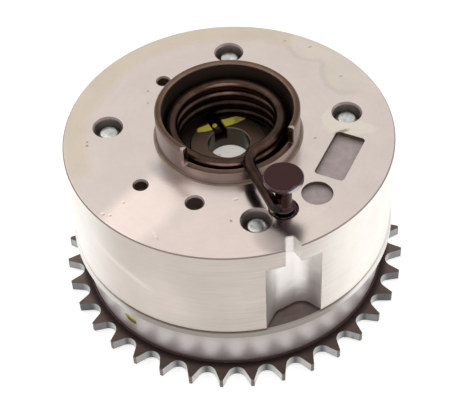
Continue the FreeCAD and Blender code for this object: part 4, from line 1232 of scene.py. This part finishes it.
def grow(name, tree, points, settings, sharp_above=40.0):
    """Runs a Geometry Nodes tree on a row of joined points and keeps a plain piece."""
    row = bpy.data.meshes.new(name)
    row.from_pydata([tuple(p) for p in points], [(i, i + 1) for i in range(len(points) - 1)], [])
    piece = bpy.data.objects.new(name, row)
    modifier = piece.modifiers.new("Build", "NODES")
    modifier.node_group = tree
    for item in tree.interface.items_tree:
        if item.in_out == "INPUT" and item.name in settings:
            modifier[item.identifier] = settings[item.name]
    bpy.context.scene.collection.objects.link(piece)
    graph = bpy.context.evaluated_depsgraph_get()
    plain = bpy.data.meshes.new_from_object(piece.evaluated_get(graph))
    piece.modifiers.clear()
    piece.data = plain
    bpy.data.meshes.remove(row)
    plain.name = name
    if not plain.polygons:
        raise RuntimeError(f"{name} came out empty")
    plain.shade_smooth()
    plain.set_sharp_from_angle(angle=math.radians(sharp_above))
    return piece


# Paths of the wires and outlines of the spun pieces


def arc(centre, r, start, end, z, steps):
    """Points on a level arc, from one angle to another in degrees."""
    return [centre + polar(r, start + (end - start) * i / steps, z) for i in range(steps + 1)]


def steps_between(low, high, count):
    """Evenly spaced numbers, with a close pair at each end for the blunt ends."""
    even = [i / count for i in range(count + 1)]
    even[1:1] = [0.012, 0.03]
    even[-1:-1] = [0.97, 0.988]
    return [low + (high - low) * share for share in even]


def spring_path(sizes):
    """The middle of the wire: inner leg, bend, coils, bend, outer leg."""
    inner, outer = math.degrees(sizes.inner_angle), math.degrees(sizes.outer_angle)
    low, top = sizes.low_height, sizes.top_height
    along, left = polar(1.0, outer), polar(1.0, outer + 90)
    beside = polar(sizes.pin_radius, math.degrees(sizes.pin_angle)) - left * sizes.pin_side
    shift = Vector(sizes.top_shift)

    # the outer bend touches the coil and the leg's line, which passes beside the pin
    line = beside + left * sizes.outer_bend - shift
    ahead = line.dot(along)
    reach = sizes.coil_radius + sizes.outer_bend
    centre = line - along * (ahead - math.sqrt(reach ** 2 - (line.dot(line) - ahead ** 2)))
    top_angle = math.degrees(math.atan2(centre.y, centre.x))
    centre += shift

    inner_reach = sizes.coil_radius - sizes.inner_bend
    lag = math.degrees(math.asin(sizes.inner_bend / inner_reach))
    low_angle = inner - lag
    turns = (low_angle - top_angle) / 360.0 + sizes.turns
    steps = int(turns * 80)

    leg = [polar(r, inner, low) for r in steps_between(
        sizes.inner_end, inner_reach * math.cos(math.radians(lag)), 12)]
    bend_in = arc(polar(inner_reach, low_angle), sizes.inner_bend, inner + 90, low_angle, low, 12)
    coils = [polar(sizes.coil_radius, low_angle - 360.0 * turns * i / steps,
                   low + (top - low) * i / steps) + shift * (i / steps) for i in range(steps + 1)]
    bend_out = arc(centre, sizes.outer_bend, top_angle + 180, outer + 270, top, 14)
    leg_start, leg_end = centre - left * sizes.outer_bend, beside + along * sizes.leg_past
    outer_leg = [leg_start.lerp(leg_end, s) + Vector((0, 0, top))
                 for s in steps_between(0.0, 1.0, 30)]
    return leg[:-1] + bend_in[:-1] + coils[:-1] + bend_out[:-1] + outer_leg


def coil_path(low, high, wire, turns):
    """The middle of an upright coil's wire, which fills a box from corner to corner."""
    middle = (low + high) / 2
    radius = (high.x - low.x) / 2 - wire
    first, last = low.z + wire, high.z - wire
    steps = turns * 40
    return [Vector((middle.x, middle.y, 0.0)) + polar(
        radius, 360.0 * turns * i / steps, first + (last - first) * i / steps)
        for i in range(steps + 1)]


def bolt_outline(sizes):
    """Radius and height of the bolt from the middle of its head to the middle of its point."""
    back, tip = BOLT_BACK, BOLT_TIP
    head_end = back + sizes.head_height
    flange_end = head_end + sizes.flange_height
    corner = sizes.flats / 2 / math.cos(math.pi / 6)
    chamfer, edge, dish, fillet = mm(0.6, 0.15, 0.35, 0.3)
    rise, tip_rise, tip_edge = mm(0.45, 0.08, 0.02)
    shank = sizes.shank_radius
    points = [(0.0, back + dish), (corner * 0.55, back + dish), (corner * 0.68, back),
              (corner - chamfer, back), (corner, back + chamfer * 0.6),
              (corner, head_end - 0.05 * MM), (sizes.flange_radius - 0.5 * MM, head_end),
              (sizes.flange_radius, head_end + rise), (sizes.flange_radius, flange_end - edge),
              (sizes.flange_radius - edge, flange_end), (shank + fillet, flange_end),
              (shank, flange_end + fillet)]
    thread_start = tip - sizes.point - sizes.thread_length
    steps = int(round(sizes.thread_length / sizes.pitch * 8))
    points += [(shank, thread_start + sizes.thread_length * i / steps) for i in range(steps + 1)]
    blunt = shank - sizes.point
    points += [(shank - sizes.point * 0.5, tip - sizes.point * 0.5), (blunt, tip - tip_rise),
               (blunt - edge, tip - tip_edge), (blunt * 0.5, tip), (0.0, tip)]
    return [Vector((r, 0.0, z)) for r, z in points]


def bead_outline(sizes):
    """Radius and height of the bead: it fills the gap beside the cup and lies on the face."""
    near, far = sizes.cup_radius + 0.05 * MM, sizes.cup_radius + sizes.width
    mouth, top = sizes.cup_radius + 0.32 * MM, FACE_TOP + sizes.height
    low, skim = FACE_TOP - 0.14 * MM, FACE_TOP + 0.004 * MM
    crown = (near + far) / 2
    points = [(near, low), (mouth, low), (mouth + 0.05 * MM, skim), (far, skim),
              (far - 0.1 * MM, skim + 0.04 * MM), (crown + 0.1 * MM, top - 0.02 * MM),
              (crown - 0.1 * MM, top), (near + 0.08 * MM, top - 0.01 * MM),
              (near, top - 0.06 * MM), (near, low)]
    return [Vector((r, 0.0, z)) for r, z in points]


# Operators: one for each piece or group, and one for the stage


def place_settings(sizes):
    """The bolt places as node tree inputs."""
    return {name: getattr(sizes, name.lower().replace(" ", "_")) for name, *_ in PLACE_INPUTS}


class GEAR_OT_stage(bpy.types.Operator):
    """Put up the floor, the light and the camera."""

    bl_idname = "gear.stage"
    bl_label = "Stage and camera"

    def execute(self, context):
        """Makes the floor, the world, the lamps and the camera."""
        settings = context.scene.gear_stage
        make_floor(settings)
        make_world(context.scene, settings)
        make_lamps(settings)
        make_camera(context.scene, settings)
        context.scene.view_settings.view_transform = "Standard"
        return {"FINISHED"}


def seen_directly(sketch):
    """1 for rays from the camera, and for those mirrored or let through by the object."""
    light_path = sketch.add("ShaderNodeLightPath").outputs
    seen = sketch.math("MAXIMUM", light_path["Is Camera Ray"], light_path["Is Glossy Ray"])
    return sketch.math("MAXIMUM", seen, light_path["Is Transmission Ray"])


def make_floor(settings):
    """A wide plain floor, white where the object doesn't shade it."""
    half, level = settings.floor_width / 2, -0.1 * MM
    mesh = bpy.data.meshes.new("floor")
    mesh.from_pydata([(-half, -half, level), (half, -half, level), (half, half, level),
                      (-half, half, level)], [], [(0, 1, 2, 3)])
    floor = bpy.data.objects.new("floor", mesh)
    bpy.context.scene.collection.objects.link(floor)
    material = bpy.data.materials.new("floor")
    material.use_nodes = True
    sketch = Sketch(material.node_tree)
    sketch.tree.nodes.clear()
    matt = sketch.add("ShaderNodeBsdfDiffuse", {"Color": full_colour(settings.floor)})
    glow = sketch.add("ShaderNodeEmission", {
        "Color": full_colour(settings.floor),
        "Strength": sketch.times(seen_directly(sketch), settings.floor_glow)})
    both = sketch.add("ShaderNodeAddShader", {0: matt.outputs[0], 1: glow.outputs[0]})
    sketch.add("ShaderNodeOutputMaterial", {"Surface": both.outputs[0]})
    mesh.materials.append(material)


def make_world(scene, settings):
    """Light from all round. What the camera and the metal see of it is plain white."""
    world = bpy.data.worlds.new("studio")
    world.use_nodes = True
    sketch = Sketch(world.node_tree)
    sketch.tree.nodes.clear()
    strength = sketch.mix(seen_directly(sketch), settings.world_light, 1.0, "FLOAT")
    sky = sketch.add("ShaderNodeBackground", {"Color": (1, 1, 1, 1), "Strength": strength})
    sketch.add("ShaderNodeOutputWorld", {"Surface": sky.outputs[0]})
    scene.world = world


def make_lamps(settings):
    """Two large soft lamps: one at the back left and one at the right."""
    lamps = [("main lamp", settings.main_light, 0.55, (-0.42, 0.30, 0.62)),
             ("fill lamp", settings.fill_light, 0.5, (0.60, -0.05, 0.50))]
    for name, power, size, place in lamps:
        data = bpy.data.lights.new(name, "AREA")
        data.energy, data.size = power, size
        lamp = bpy.data.objects.new(name, data)
        lamp.location = place
        aim = Vector((0.0, 0.0, 0.03)) - lamp.location
        lamp.rotation_euler = aim.to_track_quat("-Z", "Y").to_euler()
        bpy.context.scene.collection.objects.link(lamp)


def make_camera(scene, settings):
    """The photograph's camera: in front, looking down, rolled a little."""
    data = bpy.data.cameras.new("camera")
    data.lens, data.sensor_width = settings.camera_lens, 36.0
    data.clip_start, data.clip_end = 0.01, 10.0
    camera = bpy.data.objects.new("camera", data)
    camera.matrix_world = (
        Matrix.Translation(settings.camera_place)
        @ Matrix.Rotation(math.pi / 2 - settings.camera_tilt, 4, "X")
        @ Matrix.Rotation(-settings.camera_roll, 4, "Z"))
    scene.collection.objects.link(camera)
    scene.camera = camera


class GEAR_OT_housing(bpy.types.Operator):
    """Finish the aluminium housing."""

    bl_idname = "gear.housing"
    bl_label = "Housing"

    def execute(self, context):
        """Paints the housing."""
        paint_node(["housing"], housing_finish(context.scene.gear_finish))
        return {"FINISHED"}


class GEAR_OT_sprocket(bpy.types.Operator):
    """Finish the sprocket."""

    bl_idname = "gear.sprocket"
    bl_label = "Sprocket"

    def execute(self, context):
        """Paints the sprocket."""
        paint_node(["sprocket"], sprocket_finish(context.scene.gear_finish))
        return {"FINISHED"}


class GEAR_OT_bolts(bpy.types.Operator):
    """Make the four threaded housing bolts."""

    bl_idname = "gear.bolts"
    bl_label = "Housing bolts"

    def execute(self, context):
        """Makes the bolts, which stand for the plain CAD bolts."""
        sizes = context.scene.gear_bolts
        paint = steel_finish("bolt_steel", BOLT_STEEL, 0.28, BOLT_EDGE, blotchy=True)
        outline = bolt_outline(sizes)
        settings = place_settings(sizes)
        settings.update({
            "Rows": len(outline), "Columns": 49, "Flats": sizes.flats,
            "Head end": BOLT_BACK + sizes.head_height - 0.02 * MM, "Pitch": sizes.pitch,
            "Thread depth": sizes.thread_depth,
            "Thread start": BOLT_TIP - sizes.point - sizes.thread_length,
            "Thread end": BOLT_TIP - 0.1 * MM, "Seed": 4, "Finish": paint})
        bolts = grow("threaded_bolts", bolts_tree(bolt_places_tree()), outline, settings,
                     sharp_above=32.0)
        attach(bolts, "root")
        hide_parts("housing_bolts")
        return {"FINISHED"}


class GEAR_OT_oil_bead(bpy.types.Operator):
    """Make the bead of dried oil on the face round the spring cup."""

    bl_idname = "gear.oil_bead"
    bl_label = "Oil bead"

    def execute(self, context):
        """Makes the bead, which fills the gap beside the cup."""
        sizes = context.scene.gear_oil
        skin = Finish("dried_oil", sizes.tone, 0.42, metallic=0.0)
        skin.tint(skin.clouds(2.5, 2.4), 0.7, 1.25)
        outline = bead_outline(sizes)
        bead = grow("oil_bead", ring_tree(), outline,
                    {"Rows": len(outline), "Columns": 145, "Finish": skin.done()})
        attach(bead, "root")
        return {"FINISHED"}


class GEAR_OT_anchor_pin(bpy.types.Operator):
    """Finish the headed pin that holds the spring's outer leg."""

    bl_idname = "gear.anchor_pin"
    bl_label = "Anchor pin"

    def execute(self, context):
        """Paints the pin."""
        paint = steel_finish("pin_steel", context.scene.gear_finish.pin, 0.26,
                             PIN_EDGE, wear_share=0.7, spots=PIN_SPOTS)
        paint_node(["anchor_pin"], paint)
        return {"FINISHED"}


class GEAR_OT_rotor(bpy.types.Operator):
    """Finish the rotor and the spring cup."""

    bl_idname = "gear.rotor"
    bl_label = "Rotor and cup"

    def execute(self, context):
        """Paints the rotor and the cup."""
        colours = context.scene.gear_finish
        paint_node(["rotor"], rotor_finish(colours))
        paint_node(["spring_cup"], cup_finish(colours))
        return {"FINISHED"}


class GEAR_OT_torsion_spring(bpy.types.Operator):
    """Make the torsion spring, which runs between the rotor and the anchor pin."""

    bl_idname = "gear.torsion_spring"
    bl_label = "Torsion spring"

    def execute(self, context):
        """Makes the spring, which stands for the plain CAD spring."""
        sizes = context.scene.gear_spring
        colours = context.scene.gear_finish
        paint = wire_finish("spring_steel", colours.spring, [
            OUTER_LEG_END_SHADE, OUTER_LEG_PAINT, (*INNER_LEG_PAINT, colours.paint, 0.0)])
        spring = grow("coiled_spring", wire_tree(), spring_path(sizes),
                      {"Wire radius": sizes.wire_radius, "Sides": 24, "Blunt": 0.3 * MM,
                       "Finish": paint})
        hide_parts("torsion_spring")
        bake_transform(spring)
        return {"FINISHED"}


class GEAR_OT_lock_spring(bpy.types.Operator):
    """Make the lock pin's spring, between the pin and the rotor's cap."""

    bl_idname = "gear.lock_spring"
    bl_label = "Lock spring"

    def execute(self, context):
        """Makes the spring between the pin and the rotor's cap."""
        sizes = context.scene.gear_lock_spring
        low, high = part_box("lock_spring")
        path = coil_path(low, high, sizes.wire_radius, sizes.turns)
        spring = grow("lock_pin_spring", wire_tree(), path,
                      {"Wire radius": sizes.wire_radius, "Sides": 16, "Blunt": 0.1 * MM,
                       "Finish": wire_finish("lock_spring_steel", LOCK_WIRE)})
        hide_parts("lock_spring")
        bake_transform(spring)
        return {"FINISHED"}


class GEAR_OT_lock_parts(bpy.types.Operator):
    """Finish the lock pin and what it works with."""

    bl_idname = "gear.lock_parts"
    bl_label = "Lock parts"

    def execute(self, context):
        """Paints the lock pin, its bush and its cap."""
        paint_node(["lock_pin", "lock_bush", "lock_cap"], steel_finish(
            "lock_steel", LOCK_STEEL, 0.24, LOCK_EDGE))
        return {"FINISHED"}


class GEAR_OT_seals(bpy.types.Operator):
    """Finish the seal strips and their leaf springs."""

    bl_idname = "gear.seals"
    bl_label = "Seals"

    def execute(self, context):
        """Paints the seals and the leaf springs of the vanes and the lobes."""
        for kind, paint in (
                ("seal", seal_finish(context.scene.gear_finish)),
                ("seal_spring", steel_finish("leaf_steel", LEAF_STEEL, 0.28, LEAF_EDGE))):
            paint_node([f"{holder}_{kind}_{i}" for holder in ("vane", "lobe")
                        for i in range(1, 5)], paint)
        return {"FINISHED"}


class GEAR_PT_panel(bpy.types.Panel):
    """Lists the steps that dress the camshaft gear."""

    bl_idname = "GEAR_PT_panel"
    bl_label = "Camshaft gear"
    bl_space_type = "VIEW_3D"
    bl_region_type = "UI"
    bl_category = "Camshaft gear"

    def draw(self, context):
        """Shows a button for each step, and the sizes and colours."""
        layout = self.layout
        for step in STEPS:
            layout.operator(step.bl_idname)
        for group in SETTINGS:
            settings = getattr(context.scene, group)
            box = layout.box()
            for name in settings.__annotations__:
                box.prop(settings, name)


STEPS = (GEAR_OT_stage, GEAR_OT_housing, GEAR_OT_sprocket, GEAR_OT_bolts, GEAR_OT_oil_bead,
         GEAR_OT_anchor_pin, GEAR_OT_rotor, GEAR_OT_torsion_spring, GEAR_OT_lock_spring,
         GEAR_OT_lock_parts, GEAR_OT_seals)
SETTINGS = {"gear_spring": GEAR_PG_spring, "gear_lock_spring": GEAR_PG_lock_spring,
            "gear_bolts": GEAR_PG_bolts, "gear_oil": GEAR_PG_oil,
            "gear_finish": GEAR_PG_finish, "gear_stage": GEAR_PG_stage}


def register():
    """Registers the settings, the steps and the panel."""
    for name, group in SETTINGS.items():
        bpy.utils.register_class(group)
        setattr(bpy.types.Scene, name, bpy.props.PointerProperty(type=group))
    for step in STEPS:
        bpy.utils.register_class(step)
    bpy.utils.register_class(GEAR_PT_panel)


def unregister():
    """Takes back what register does."""
    bpy.utils.unregister_class(GEAR_PT_panel)
    for step in reversed(STEPS):
        bpy.utils.unregister_class(step)
    for name, group in SETTINGS.items():
        delattr(bpy.types.Scene, name)
        bpy.utils.unregister_class(group)


def main():
    """Runs every step in order."""
    register()
    bpy.ops.gear.stage()
    bpy.ops.gear.housing()
    bpy.ops.gear.sprocket()
    bpy.ops.gear.bolts()
    bpy.ops.gear.oil_bead()
    bpy.ops.gear.anchor_pin()
    bpy.ops.gear.rotor()
    bpy.ops.gear.torsion_spring()
    bpy.ops.gear.lock_spring()
    bpy.ops.gear.lock_parts()
    bpy.ops.gear.seals()


if __name__ == "__main__":
    main()
